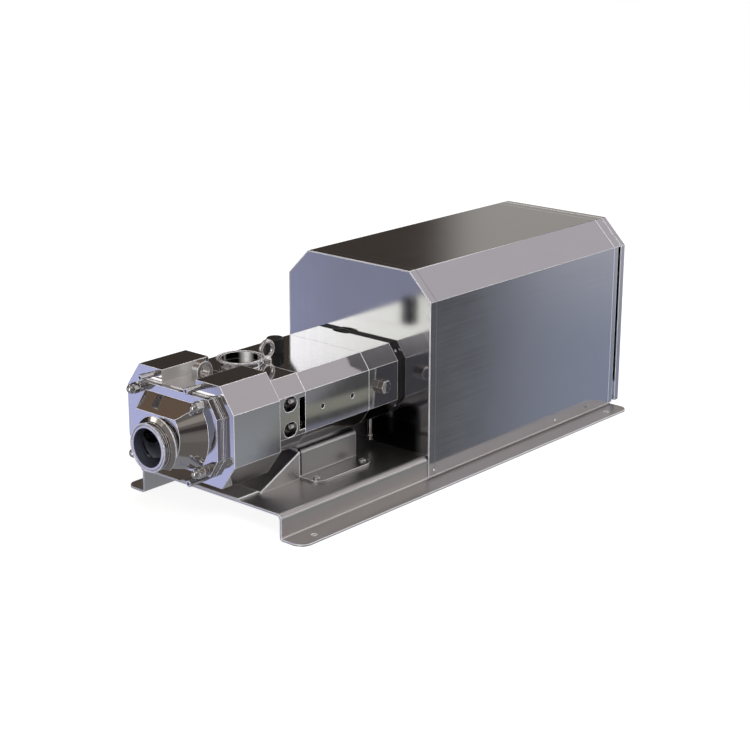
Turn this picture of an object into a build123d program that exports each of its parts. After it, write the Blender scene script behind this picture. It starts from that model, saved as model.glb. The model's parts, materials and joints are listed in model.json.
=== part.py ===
from build123d import *
import math
import os

# A hygienic twin screw pump on a bent sheet base: the pump stands in front,
# its motor runs behind it under a polished sheet shroud.
# Millimetres. X runs along the pump from the suction port to the shroud's back,
# Y across it, Z up. The origin is under the middle of the whole set, on the ground.

# Lengths along the pump, in order from the suction port's face
ferrule_length = 12.5
nozzle_length = 9.0
hub_length = 42.0
cover_thickness = 12.0
spacer_thickness = 4.0
casing_head_length = 116.0
casing_body_length = 91.0
gear_front_length = 178.0
gear_rear_length = 85.0
adapter_length = 12.0
shroud_length = 653.0
shroud_gap = 2.5
rear_cover_depth = 14.0

# The pump's axis and its two shafts
pump_axis_height = 196.0
shaft_spacing = 66.0

# Octagonal outlines: half width, half width of the top, half height, height of the corner cut
head_outline = (139.5, 105.5, 96.0, 47.0)
body_outline = (116.0, 93.0, 71.5, 31.5)
cover_outline = (113.0, 92.0, 72.0, 33.0)
spacer_outline = (116.5, 94.0, 73.5, 33.5)
trough_half_width = 43.7

# Base, a bent sheet with a flange on each side
base_sheet = 4.0
base_half_width = 185.3
base_flange_width = 52.0
base_bend = 3.0
base_setback = 68.0
base_end_gap = 13.0
base_corner_radius = 24.0
base_hole_radius = 5.5
base_hole_inset = 56.0
base_hole_from_edge = 23.0

# Shroud
shroud_sheet = 2.0
shroud_top = 416.0
shroud_corner_cut = 54.0
shroud_fold = 3.0
shroud_ground_gap = 7.6
shroud_fit = 0.2
panel_return = 15.0
rear_spigot_depth = 16.0
rear_gap_inset = 5.0
side_slot_length = 9.0
shroud_screw_radius = 2.2
shroud_screw_head = (4.0, 1.8)
shroud_screw_height = 18.0
shroud_screw_insets = (18.0, 428.0)

# Bracket under the gear case and the drip ramp before it
bracket_sheet = 4.0
bracket_half_width = 84.0
bracket_foot_width = 47.5
bracket_length = 158.0
bracket_bend = 6.0
bracket_setback = 18.0
bracket_foot_radius = 22.0
bracket_bolt_inset = 14.0
bracket_bolt_from_edge = 18.0
bracket_bolt_length = 20.0
bracket_bolt_head = (7.0, 4.0)
bracket_nut_height = 6.5
pad_height = 15.5
pad_half_width = 56.0
pad_length = 120.0
pad_bolt_inset = 16.0
pad_bolt_head = (6.5, 5.3)
pad_bolt_depth = 12.0
ramp_sheet = 3.0
ramp_half_width = 84.0
ramp_length = 105.6
ramp_drop = 3.5
ramp_gap = 0.4
ramp_tab_half_width = 76.0

# Screws, their shafts and the chamber round them
screw_radius = 46.5
screw_root = 18.8
screw_lead = 52.0
thread_crest = 23.0
screw_length = 104.0
screw_front_gap = 5.0
screw_clearance = 0.3
shaft_fit = 0.04
screw_seat_radius = 12.0
seal_seat_radius = 16.0
bearing_seat_radius = 17.5
gear_lock_radius = 15.0
drive_end_radius = 14.0
coupling_end_length = 51.0
rotor_nut_radius = 16.0
rotor_nut_length = 16.0
rotor_stub_radius = 8.0

# Shaft seals, in the wall behind the discharge chamber
seal_wall = 8.0
seal_window_length = 16.0
seal_window_height = 63.0
seal_bore_radius = 22.0
seal_cord = 4.0
seal_cord_gap = 4.0
seal_cord_squeeze = 0.1
seal_seat_length = 10.0
seal_seat_gap = 1.0
seal_ring_radius = 20.5
seal_ring_length = 8.0

# Bearings and the gears that keep the screws apart
bearing_outer_radius = 31.0
bearing_width = 14.0
bearing_race = 3.6
bearing_shield = 1.2
bearing_shield_gap = 0.08
oil_seal_radius = 25.0
oil_seal_length = 8.0
retainer_thickness = 5.0
gear_teeth = 24
gear_width = 26.0
gear_face_gap = 17.0
gear_backlash = 0.24
gear_nut_radius = 22.0
gear_nut_length = 9.0
key_width = 9.0
key_height = 7.0
gear_rear_wall = 16.0
gear_cavity_gap = 6.0

# Ports, standard three inch clamp ferrules
ferrule_radius = 45.5
ferrule_rim = 2.85
port_radius = 36.45
tube_radius = 39.0
gasket_groove_radius = 41.7
gasket_groove_width = 1.7
hub_front_radius = 62.0
hub_base_radius = 92.0
hub_top_front = 36.0
hub_top_base = 57.0
hub_bottom = 62.0
suction_drop = 22.0
nozzle_step_radius = 44.5
nozzle_step_length = 3.5
nozzle_root_radius = 53.0
nozzle_root_length = 1.5
discharge_neck = 10.0
discharge_setback = 35.0
discharge_throat_radius = 32.0
discharge_land = 2.0

# Fasteners
nut_across = 82.5
nut_rise = 61.5
stud_radius = 5.0
stud_depth = 30.0
bush_radius = 10.0
bush_room = 1.5
bush_length = 10.0
nut_radius = 10.4
nut_hex_length = 12.0
nut_dome_length = 12.0
tie_across = 60.0
tie_rise = 86.5
tie_head_radius = 6.2
tie_head_length = 14.0
tie_sleeve_radius = 5.4
tie_sleeve_length = 25.0
tie_shank_radius = 4.0
tie_depth = 112.0
hole_clearance = 0.25
body_screw_across = 103.0
body_screw_rise = 24.5
body_screw_radius = 3.0
body_screw_head_radius = 5.0
body_screw_head_length = 6.0
body_screw_length = 45.0
pocket_radius = 14.0
pocket_length = 35.0
pocket_depth = 19.0
pocket_wall = 6.5

# Fittings on top of the pump
eye_ring_radius = 15.5
eye_wire_radius = 4.2
eye_collar_radius = 9.5
eye_collar_height = 6.0
eye_setback = 18.0
eye_stem_radius = 4.0
eye_stem_length = 12.0
cap_radius = 17.5
cap_height = 28.0
cap_ribs = 24
cap_setback = 74.0
cap_stem_radius = 9.0
cap_stem_length = 11.0
lug_radius = 18.5
lug_height = 38.0
lug_thickness = 16.0
lug_hole_radius = 10.5
lug_front_gap = 57.5
notch_radius = 22.0
notch_depth = 8.0
notch_drop = 9.0

# Fittings on the gear case's sides and underside
plug_across_flats = 24.0
plug_head = 14.0
plug_thread_radius = 10.0
plug_thread_length = 16.0
plug_setback = 36.0
side_hole_radius = 5.0
side_hole_depth = 14.0
side_hole_places = (47.0, 130.0)
drain_radius = 5.0
drain_length = 63.0
drain_setback = 67.0
drain_across = 60.0
drain_depth = 12.0

# Adapter, bell housing and coupling between the gear case and the motor
adapter_bore = 45.0
adapter_screw_radius = 3.0
bell_radius = 70.0
bell_wall = 8.0
bell_length = 135.0
bell_flange_thickness = 12.0
panel_opening_gap = 3.0
coupling_radius = 40.0
coupling_hub_length = 36.0
coupling_gap = 16.0
coupling_jaws = 3
jaw_angle = 42.0
coupling_play = 0.3

# Motor
motor_shaft_radius = 19.0
motor_shaft_length = 80.0
motor_face_radius = 100.0
motor_shield_length = 26.0
motor_shield_rim = 14.0
motor_shield_wall = 4.0
motor_frame_length = 292.0
motor_frame_radius = 112.0
motor_bore_radius = 98.0
motor_fin_height = 15.0
motor_fins = 32
fan_cowl_length = 96.0
cowl_sheet = 2.0
cowl_radius = 122.0
cowl_chamfer = 14.0
cowl_hole_radius = 8.0
cowl_ring_spacing = 26.0
cowl_ring_count = 3
motor_shaft_height = 132.0
motor_rail_height = 13.0
foot_spacing_across = 216.0
foot_first = 89.0
foot_spacing_along = 178.0
foot_pad_width = 46.0
foot_pad_length = 62.0
foot_pad_height = 14.0
foot_leg = (48.0, 34.0, 74.0)
foot_leg_across = 76.0
stator_wall = 30.0
winding_head_length = 26.0
winding_head_step = 8.0
air_gap = 0.6
core_length = 150.0
motor_bearing_radius = 34.0
motor_bearing_bore = 20.4
motor_bearing_width = 18.0
fan_radius = 100.0
fan_seat_radius = 15.2
fan_hub_radius = 34.0
fan_disc = 3.0
fan_gap = 12.0
fan_hub_length = 34.0
fan_blade_length = 30.0
fan_blades = 8
terminal_box_size = (130.0, 96.0, 46.0)
motor_bolt_radius = 6.0
motor_bolt_length = 42.0
motor_bolt_head = (10.5, 7.5)
motor_nut_height = 9.0
terminal_seat_height = 132.0

# Worked out from the sizes above
suction_face = -0.5 * (
    ferrule_length + nozzle_length + hub_length + cover_thickness + spacer_thickness
    + casing_head_length + casing_body_length
    + gear_front_length + gear_rear_length + adapter_length
    + shroud_length + shroud_gap + rear_cover_depth
)
nozzle_x = suction_face + ferrule_length
hub_x = nozzle_x + nozzle_length
cover_x = hub_x + hub_length
spacer_x = cover_x + cover_thickness
head_x = spacer_x + spacer_thickness
body_x = head_x + casing_head_length
gear_front_x = body_x + casing_body_length
gear_rear_x = gear_front_x + gear_front_length
adapter_x = gear_rear_x + gear_rear_length
shroud_x = adapter_x + adapter_length
shroud_end_x = shroud_x + shroud_length
rear_cover_x = shroud_end_x + shroud_gap
rear_x = rear_cover_x + rear_cover_depth

drive_y = shaft_spacing / 2
driven_y = -shaft_spacing / 2
body_top = pump_axis_height + body_outline[2]
body_bottom = pump_axis_height - body_outline[2]
motor_foot_bottom = pump_axis_height - motor_shaft_height
base_height = motor_foot_bottom - motor_rail_height
bracket_top = body_bottom - pad_height
ramp_top = bracket_top - ramp_drop
shroud_half_width = base_half_width + shroud_fit + shroud_sheet
suction_height = pump_axis_height - suction_drop
chamber_radius = screw_radius + screw_clearance
screw_x = head_x + screw_front_gap
screw_end_x = screw_x + screw_length
seal_window_x = gear_front_x - seal_window_length
seal_wall_x = seal_window_x - seal_wall
pocket_end_x = seal_window_x - pocket_wall
pocket_x = pocket_end_x - pocket_length / 2
discharge_x = seal_window_x - discharge_setback
base_x = head_x + base_setback
base_end_x = shroud_end_x - base_end_gap
base_edge = base_half_width + base_flange_width
bracket_x = gear_front_x + bracket_setback
front_bearing_x = gear_front_x + oil_seal_length
rear_bearing_x = gear_rear_x - bearing_width
gear_x = gear_rear_x + retainer_thickness + gear_face_gap
gear_nut_x = gear_x + gear_width
gear_module = shaft_spacing / gear_teeth
gear_tip_radius = shaft_spacing / 2 + gear_module
gear_root_radius = shaft_spacing / 2 - 1.25 * gear_module
eye_x = gear_front_x + eye_setback
cap_x = gear_front_x + cap_setback
plug_x = gear_rear_x + plug_setback
drain_x = gear_rear_x + drain_setback
drive_end_x = adapter_x + coupling_end_length
motor_face_x = shroud_x + bell_length
motor_shaft_x = motor_face_x - motor_shaft_length
motor_frame_x = motor_face_x + motor_shield_length
motor_shield_x = motor_frame_x + motor_frame_length
cowl_x = motor_shield_x + motor_shield_length


def across(x, y=0.0, z=pump_axis_height):
    """A plane across the pump at x: its own x is Y, its own y is Z, its normal is +X."""
    return Plane(origin=(x, y, z), x_dir=(0, 1, 0), z_dir=(1, 0, 0))


def level(z, x=0.0, y=0.0):
    """A level plane at height z."""
    return Plane(origin=(x, y, z), x_dir=(1, 0, 0), z_dir=(0, 0, 1))


def rod(x, radius, length, y=0.0, z=pump_axis_height):
    """A round bar along X."""
    return extrude(across(x, y, z) * Circle(radius), amount=length)


def post(x, y, z, radius, height):
    """A round bar that stands up from height z."""
    return extrude(level(z, x, y) * Circle(radius), amount=height)


def tube(x, outer, inner, length, y=0.0, z=pump_axis_height):
    """A ring or a tube along X."""
    return extrude(across(x, y, z) * (Circle(outer) - Circle(inner)), amount=length)


def turned(profile, y=0.0, z=pump_axis_height):
    """A turned piece: profile holds (x, radius) points, turned round the line along X at y, z."""
    outline = make_face(Polyline(*[(x, radius) for x, radius in profile], close=True))
    return Pos(0, y, z) * revolve(Plane.XZ * outline, axis=Axis.X)


def octagon(outline, grow=0.0):
    """A rectangle with four equal cut corners, centred on the pump's axis."""
    half_width, half_top, half_height, corner = outline
    right = [
        (half_top + grow, half_height + grow),
        (half_width + grow, half_height - corner + grow / 2),
        (half_width + grow, corner - half_height - grow / 2),
        (half_top + grow, -half_height - grow),
    ]
    left = [(-y, z) for y, z in reversed(right)]
    return make_face(Polyline(*right, *left, close=True))


def chamber_face(radius):
    """Two overlapping circles round the two shafts, the outline of the screw chamber."""
    return Pos(drive_y, 0) * Circle(radius) + Pos(driven_y, 0) * Circle(radius)


def corners(across_distance, rise):
    """The four places at the same distance from the pump's axis, as (y, z) pairs."""
    return [
        (side * across_distance, pump_axis_height + lift * rise)
        for side in (-1, 1)
        for lift in (-1, 1)
    ]


def bent_sheet(points, bend, thickness):
    """The end view of a bent sheet: one of its faces follows the points, with rounded bends."""
    face_line = FilletPolyline(*points, radius=bend)
    return Face(Wire(face_line.edges()).offset_2d(thickness, side=Side.LEFT))


def together(solids):
    """Separate solids that make one sub-part."""
    return Compound(children=[solid for item in solids for solid in item.solids()])


def baseplate():
    """Hat section sheet: level top, two upright webs, two flanges on the ground."""
    points = [
        (-base_edge, 0),
        (base_sheet - base_half_width, 0),
        (base_sheet - base_half_width, base_height - base_sheet),
        (base_half_width - base_sheet, base_height - base_sheet),
        (base_half_width - base_sheet, 0),
        (base_edge, 0),
    ]
    length = base_end_x - base_x
    profile = bent_sheet(points, base_bend + base_sheet, base_sheet)
    sheet = extrude(across(base_x, 0, 0) * profile, amount=length)
    corner_edges = [
        edge
        for edge in sheet.edges().filter_by(Axis.Z)
        if abs(edge.center().Y) > base_edge - 1 and edge.center().Z < base_sheet
    ]
    sheet = fillet(corner_edges, base_corner_radius)
    holes = [
        post(x, side * (base_edge - base_hole_from_edge), -1, base_hole_radius, base_sheet + 2)
        for x in (base_x + base_hole_inset, base_end_x - base_hole_inset)
        for side in (-1, 1)
    ]
    top_bolts = bracket_bolt_places() + motor_bolt_places()
    drilled = [
        post(x, y, base_height - base_sheet - 1, radius + hole_clearance, base_sheet + 2)
        for x, y, radius in top_bolts
    ]
    return sheet - holes - drilled - shroud_screw_holes()


def bracket_bolt_places():
    """The four bolts of the bracket's feet, as (x, y, radius)."""
    reach = bracket_half_width + bracket_foot_width - bracket_bolt_from_edge
    return [
        (x, side * reach, tie_shank_radius)
        for x in (bracket_x + bracket_bolt_inset, bracket_x + bracket_length - bracket_bolt_inset)
        for side in (-1, 1)
    ]


def motor_bolt_places():
    """The four bolts of the motor's feet, as (x, y, radius)."""
    first = motor_face_x + foot_first
    return [
        (x, drive_y + side * foot_spacing_across / 2, motor_bolt_radius)
        for x in (first, first + foot_spacing_along)
        for side in (-1, 1)
    ]


def pad_bolt_places():
    """The four bolts up through the bracket into the gear case's foot, as (x, y)."""
    middle = bracket_x + bracket_length / 2
    return [
        (middle + along * (pad_length / 2 - pad_bolt_inset), side * (pad_half_width - pad_bolt_inset))
        for along in (-1, 1)
        for side in (-1, 1)
    ]


def through_bolts(places, head_z, head_size, length, nut_z, nut_height):
    """Button head bolts that hang down through a plate, each with its nut below."""
    head_radius, head_height = head_size
    bolts = []
    for x, y, radius in places:
        head = post(x, y, head_z, head_radius, head_height)
        head = chamfer(head.edges().group_by(Axis.Z)[-1], head_height * 0.4)
        socket = extrude(
            level(head_z + head_height, x, y) * RegularPolygon(radius * 0.62, 6), amount=-head_height * 0.5
        )
        shank = post(x, y, head_z - length, radius, length)
        nut = extrude(level(nut_z - nut_height, x, y) * RegularPolygon(radius * 1.8, 6), amount=nut_height)
        bolts.append(head + shank + nut - socket)
    return together(bolts)


def bracket_foot_bolts():
    """Bolts of the bracket's feet, through the base."""
    return through_bolts(
        bracket_bolt_places(), base_height + bracket_sheet, bracket_bolt_head, bracket_bolt_length,
        base_height - base_sheet, bracket_nut_height,
    )


def motor_foot_bolts():
    """Bolts of the motor's feet, through its rails and the base."""
    return through_bolts(
        motor_bolt_places(), motor_foot_bottom + foot_pad_height, motor_bolt_head, motor_bolt_length,
        base_height - base_sheet, motor_nut_height,
    )


def pump_bracket():
    """Hat section bracket that carries the gear case, with rounded feet."""
    reach = bracket_half_width + bracket_foot_width
    inner = bracket_half_width - bracket_sheet
    points = [
        (-reach, base_height),
        (-inner, base_height),
        (-inner, bracket_top - bracket_sheet),
        (inner, bracket_top - bracket_sheet),
        (inner, base_height),
        (reach, base_height),
    ]
    profile = bent_sheet(points, bracket_bend, bracket_sheet)
    sheet = extrude(across(bracket_x, 0, 0) * profile, amount=bracket_length)
    corner_edges = [
        edge
        for edge in sheet.edges().filter_by(Axis.Z)
        if abs(edge.center().Y) > reach - 1 and edge.center().Z < base_height + bracket_sheet
    ]
    sheet = fillet(corner_edges, bracket_foot_radius)
    foot_holes = [
        post(x, y, base_height - 1, radius + hole_clearance, bracket_sheet + 2)
        for x, y, radius in bracket_bolt_places()
    ]
    pad_holes = [
        post(x, y, bracket_top - bracket_sheet - 1, tie_shank_radius + hole_clearance, bracket_sheet + 2)
        for x, y in pad_bolt_places()
    ]
    return sheet - foot_holes - pad_holes


def pad_bolts():
    """Bolts up through the bracket into the gear case's foot, heads underneath."""
    flats, head_height = pad_bolt_head
    under = bracket_top - bracket_sheet
    bolts = []
    for x, y in pad_bolt_places():
        hexagon = RegularPolygon(flats, 6, major_radius=False)
        head = extrude(level(under - head_height, x, y) * hexagon, amount=head_height)
        shank = post(x, y, under, tie_shank_radius, bracket_sheet + pad_bolt_depth)
        bolts.append(head + shank)
    return together(bolts)


def drip_ramp():
    """Folded sheet ramp before the bracket, with a flat tab on to the base's front edge."""
    top_x = bracket_x - ramp_gap
    foot_x = top_x - ramp_length
    foot_top = base_height + ramp_sheet
    side = Polyline(
        (foot_x, base_height),
        (foot_x, foot_top),
        (top_x, ramp_top),
        (top_x, base_height),
        close=True,
    )
    wedge = extrude(Plane.XZ * make_face(side), amount=ramp_half_width, both=True)
    drop = ramp_sheet * math.hypot(ramp_length, ramp_top - foot_top) / ramp_length
    hollow = Polyline(
        (foot_x + ramp_sheet, base_height - 1),
        (foot_x + ramp_sheet, foot_top - drop / 2),
        (top_x + 1, ramp_top - drop),
        (top_x + 1, base_height - 1),
        close=True,
    )
    inside = extrude(Plane.XZ * make_face(hollow), amount=ramp_half_width - ramp_sheet, both=True)
    tab = Pos(base_x, 0, base_height) * Box(
        foot_x - base_x, 2 * ramp_tab_half_width, ramp_sheet, align=(Align.MIN, Align.CENTER, Align.MIN)
    )
    return wedge + tab - inside


def shroud_face(inset, bottom):
    """The shroud's end view, drawn in by an inset, down to a given height."""
    half_width = shroud_half_width - inset
    top = shroud_top - inset
    cut = shroud_corner_cut - inset * (2 - math.sqrt(2))
    outline = Polyline(
        (-half_width, bottom),
        (-half_width, top - cut),
        (cut - half_width, top),
        (half_width - cut, top),
        (half_width, top - cut),
        (half_width, bottom),
        close=True,
    )
    face = make_face(outline)
    bends = face.vertices().filter_by(lambda v: v.Y > top - cut - 1)
    return fillet(bends, max(shroud_fold - inset, 0.8))


def shroud_screw_holes():
    """Holes for the screws that hold the shroud's sides to the base's webs."""
    reach = base_half_width + 5
    return [
        extrude(
            Plane(origin=(shroud_x + inset, side * reach, shroud_screw_height), z_dir=(0, -side, 0))
            * Circle(shroud_screw_radius + hole_clearance),
            amount=base_sheet + 10,
        )
        for inset in shroud_screw_insets
        for side in (-1, 1)
    ]


def shroud_shell():
    """One sheet bent round the top, corners and sides, its sides shorter at the back for a slot."""
    outer = extrude(across(shroud_x, 0, 0) * shroud_face(0, shroud_ground_gap), amount=shroud_length)
    inner = extrude(
        across(shroud_x - 1, 0, 0) * shroud_face(shroud_sheet, shroud_ground_gap - 1),
        amount=shroud_length + 2,
    )
    slots = Pos(shroud_end_x - side_slot_length, 0, shroud_ground_gap - 1) * Box(
        side_slot_length + 1, 3 * shroud_half_width, shroud_top - shroud_corner_cut - shroud_ground_gap,
        align=(Align.MIN, Align.CENTER, Align.MIN),
    )
    return outer - inner - slots - shroud_screw_holes()


def shroud_screws():
    """Button head screws through the shroud's sides into the base's webs."""
    head_radius, head_height = shroud_screw_head
    screws = []
    for inset in shroud_screw_insets:
        for side in (-1, 1):
            seat = Plane(
                origin=(shroud_x + inset, side * shroud_half_width, shroud_screw_height), z_dir=(0, side, 0)
            )
            head = extrude(seat * Circle(head_radius), amount=head_height, taper=25)
            shank = extrude(seat * Circle(shroud_screw_radius), amount=-(base_sheet + 8))
            screws.append(head + shank)
    return together(screws)


def front_panel():
    """Folded tray that closes the shroud's front, with a round opening for the bell housing."""
    inset = shroud_sheet + shroud_fit
    bottom = base_height + shroud_fit
    plate = extrude(across(shroud_x, 0, 0) * shroud_face(inset, bottom), amount=panel_return)
    hollow = extrude(
        across(shroud_x + shroud_sheet, 0, 0) * shroud_face(inset + shroud_sheet, bottom + shroud_sheet),
        amount=panel_return,
    )
    opening = rod(shroud_x - 1, bell_radius + panel_opening_gap, shroud_sheet + 2, drive_y)
    return plate - hollow - opening


def rear_cover():
    """Folded tray behind the shroud; its inner rim plugs into the shell and leaves a dark gap."""
    tray = extrude(across(rear_cover_x, 0, 0) * shroud_face(0, shroud_ground_gap), amount=rear_cover_depth)
    hollow = extrude(
        across(rear_cover_x - 1, 0, 0) * shroud_face(shroud_sheet, shroud_ground_gap + shroud_sheet),
        amount=rear_cover_depth - shroud_sheet + 1,
    )
    rim_bottom = base_height + shroud_fit
    rim_length = rear_spigot_depth + shroud_gap + rear_cover_depth
    rim_x = rear_x - rim_length
    rim = extrude(
        across(rim_x, 0, 0) * shroud_face(rear_gap_inset, rim_bottom), amount=rim_length - shroud_sheet
    )
    rim_hollow = extrude(
        across(rim_x - 1, 0, 0) * shroud_face(rear_gap_inset + shroud_sheet, rim_bottom + shroud_sheet),
        amount=rim_length + 1 - shroud_sheet,
    )
    return tray - hollow + (rim - rim_hollow)


def clamp_ferrule():
    """Three inch clamp ferrule turned round Z, its face upwards at z = 0."""
    back = ferrule_rim + (ferrule_radius - tube_radius) * math.tan(math.radians(20))
    outline = Polyline(
        (port_radius, 0),
        (ferrule_radius, 0),
        (ferrule_radius, -ferrule_rim),
        (tube_radius, -back),
        (tube_radius, -ferrule_length),
        (port_radius, -ferrule_length),
        close=True,
    )
    body = revolve(Plane.XZ * make_face(outline), axis=Axis.Z)
    groove = revolve(
        Plane.XZ * Pos(gasket_groove_radius, 0) * Circle(gasket_groove_width), axis=Axis.Z
    )
    return body - groove


def suction_ferrule():
    return Pos(suction_face, 0, suction_height) * Rot(0, -90, 0) * clamp_ferrule()


def discharge_ferrule():
    return Pos(discharge_x, 0, body_top + discharge_neck + ferrule_length) * clamp_ferrule()


def front_cover():
    """Octagonal cover with a conical hub, cut flat above and below, and the suction nozzle."""
    plate = extrude(across(cover_x) * octagon(cover_outline), amount=cover_thickness)
    cone = loft([across(hub_x) * Circle(hub_front_radius), across(cover_x) * Circle(hub_base_radius)])
    nozzle_profile = [
        (nozzle_x, 0),
        (nozzle_x, nozzle_step_radius),
        (nozzle_x + nozzle_step_length, nozzle_step_radius),
        (hub_x - nozzle_root_length, nozzle_root_radius),
        (hub_x, nozzle_root_radius),
        (hub_x, 0),
    ]
    nozzle = turned(nozzle_profile, 0, suction_height)
    slope = (hub_top_base - hub_top_front) / hub_length
    roof = Polyline(
        (nozzle_x, hub_top_front - slope * nozzle_length),
        (cover_x, hub_top_base),
        (cover_x, 2 * hub_base_radius),
        (nozzle_x, 2 * hub_base_radius),
        close=True,
    )
    above = Pos(0, 0, pump_axis_height) * extrude(
        Plane.XZ * make_face(roof), amount=2 * hub_base_radius, both=True
    )
    below = Pos(cover_x, 0, pump_axis_height - hub_bottom) * Box(
        hub_length + nozzle_length + 1, 4 * hub_base_radius, 2 * hub_base_radius,
        align=(Align.MAX, Align.CENTER, Align.MAX),
    )
    hub = cone + nozzle - below - above
    throat = rod(nozzle_x - 1, port_radius, nozzle_length + 1, 0, suction_height)
    flare = loft([
        across(hub_x, 0, suction_height) * Circle(port_radius),
        across(cover_x) * SlotCenterToCenter(shaft_spacing, 2 * chamber_radius),
    ])
    mouth = extrude(
        across(cover_x) * SlotCenterToCenter(shaft_spacing, 2 * chamber_radius), amount=cover_thickness
    )
    stud_holes = [
        rod(cover_x - 1, stud_radius + hole_clearance, cover_thickness + 2, y, z)
        for y, z in corners(nut_across, nut_rise)
    ]
    stud_holes += [
        rod(cover_x - hub_length, bush_radius + bush_room, hub_length, y, z)
        for y, z in corners(nut_across, nut_rise)
    ]
    return plate + hub - throat - flare - mouth - stud_holes


def cover_spacer():
    """Thin plate between the cover and the casing, with the same passage."""
    plate = extrude(across(spacer_x) * octagon(spacer_outline), amount=spacer_thickness)
    mouth = extrude(
        across(spacer_x - 1) * SlotCenterToCenter(shaft_spacing, 2 * chamber_radius),
        amount=spacer_thickness + 2,
    )
    stud_holes = [
        rod(spacer_x - 1, stud_radius + hole_clearance, spacer_thickness + 2, y, z)
        for y, z in corners(nut_across, nut_rise)
    ]
    return plate - mouth - stud_holes


def cover_seal():
    """O-ring in a groove of the casing's face, round the two bores."""
    outer = SlotCenterToCenter(shaft_spacing, 2 * (chamber_radius + seal_cord_gap + seal_cord))
    inner = SlotCenterToCenter(shaft_spacing, 2 * (chamber_radius + seal_cord_gap))
    depth = seal_cord - 2 * seal_cord_squeeze
    return extrude(across(head_x + seal_cord_squeeze) * (outer - inner), amount=depth)


def cover_studs():
    reach = stud_depth + spacer_thickness + cover_thickness + bush_length + nut_hex_length + 2
    return together([
        rod(head_x + stud_depth - reach, stud_radius, reach, y, z) for y, z in corners(nut_across, nut_rise)
    ])


def cover_bushes():
    """Round bushes under the dome nuts."""
    return together([
        tube(cover_x - bush_length, bush_radius, stud_radius + hole_clearance, bush_length, y, z)
        for y, z in corners(nut_across, nut_rise)
    ])


def cover_nuts():
    """Dome nuts that hold the cover."""
    hex_x = cover_x - bush_length - nut_hex_length
    nuts = []
    for y, z in corners(nut_across, nut_rise):
        hexagon = extrude(across(hex_x, y, z) * RegularPolygon(nut_radius, 6), amount=nut_hex_length)
        collar_radius = nut_radius * math.cos(math.pi / 6)
        curve = Line((hex_x, 0), (hex_x, collar_radius)) + ThreePointArc(
            (hex_x, collar_radius),
            (hex_x - nut_dome_length * 0.72, collar_radius * 0.68),
            (hex_x - nut_dome_length, 0),
        ) + Line((hex_x - nut_dome_length, 0), (hex_x, 0))
        dome = Pos(0, y, z) * revolve(Plane.XZ * make_face(curve), axis=Axis.X)
        bore = rod(hex_x - 4, stud_radius + hole_clearance, nut_hex_length + 4, y, z)
        nuts.append(hexagon + dome - bore)
    return together(nuts)


def casing_ties():
    """Long socket head screws through the casing's corner blocks, each in a sleeve."""
    sleeve_x = head_x - tie_sleeve_length
    ties = []
    for y, z in corners(tie_across, tie_rise):
        head = rod(sleeve_x - tie_head_length, tie_head_radius, tie_head_length, y, z)
        head = chamfer(head.edges().group_by(Axis.X)[0], 0.8)
        sleeve = rod(sleeve_x, tie_sleeve_radius, tie_sleeve_length, y, z)
        shank = rod(head_x, tie_shank_radius, tie_depth, y, z)
        socket = extrude(
            across(sleeve_x - tie_head_length, y, z) * RegularPolygon(tie_head_radius * 0.55, 6), amount=8
        )
        ties.append(head + sleeve + shank - socket)
    return together(ties)


def head_face():
    """The casing's wide outline, with a trough above and below between the corner blocks."""
    trough_depth = head_outline[2] - body_outline[2]
    shape = octagon(head_outline)
    for lift in (-1, 1):
        trough = Rectangle(2 * trough_half_width, trough_depth)
        shape -= Pos(0, lift * (head_outline[2] - trough_depth / 2)) * trough
    return shape


def casing_head():
    """The front of the casing, round the screws, with blind holes for the studs and the long screws."""
    block = extrude(across(head_x) * head_face(), amount=casing_head_length)
    bores = extrude(across(head_x - 1) * chamber_face(chamber_radius), amount=casing_head_length + 2)
    mouth = SlotCenterToCenter(shaft_spacing, 2 * (chamber_radius + seal_cord_gap + seal_cord))
    land = SlotCenterToCenter(shaft_spacing, 2 * (chamber_radius + seal_cord_gap))
    groove = extrude(across(head_x) * (mouth - land), amount=seal_cord)
    stud_holes = [
        rod(head_x - 1, stud_radius + hole_clearance, stud_depth + 2, y, z)
        for y, z in corners(nut_across, nut_rise)
    ]
    tie_holes = [
        rod(head_x - 1, tie_shank_radius + hole_clearance, tie_depth + 1, y, z)
        for y, z in corners(tie_across, tie_rise)
    ]
    return block - bores - groove - stud_holes - tie_holes


def body_screw_places():
    return corners(body_screw_across, body_screw_rise)


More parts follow.
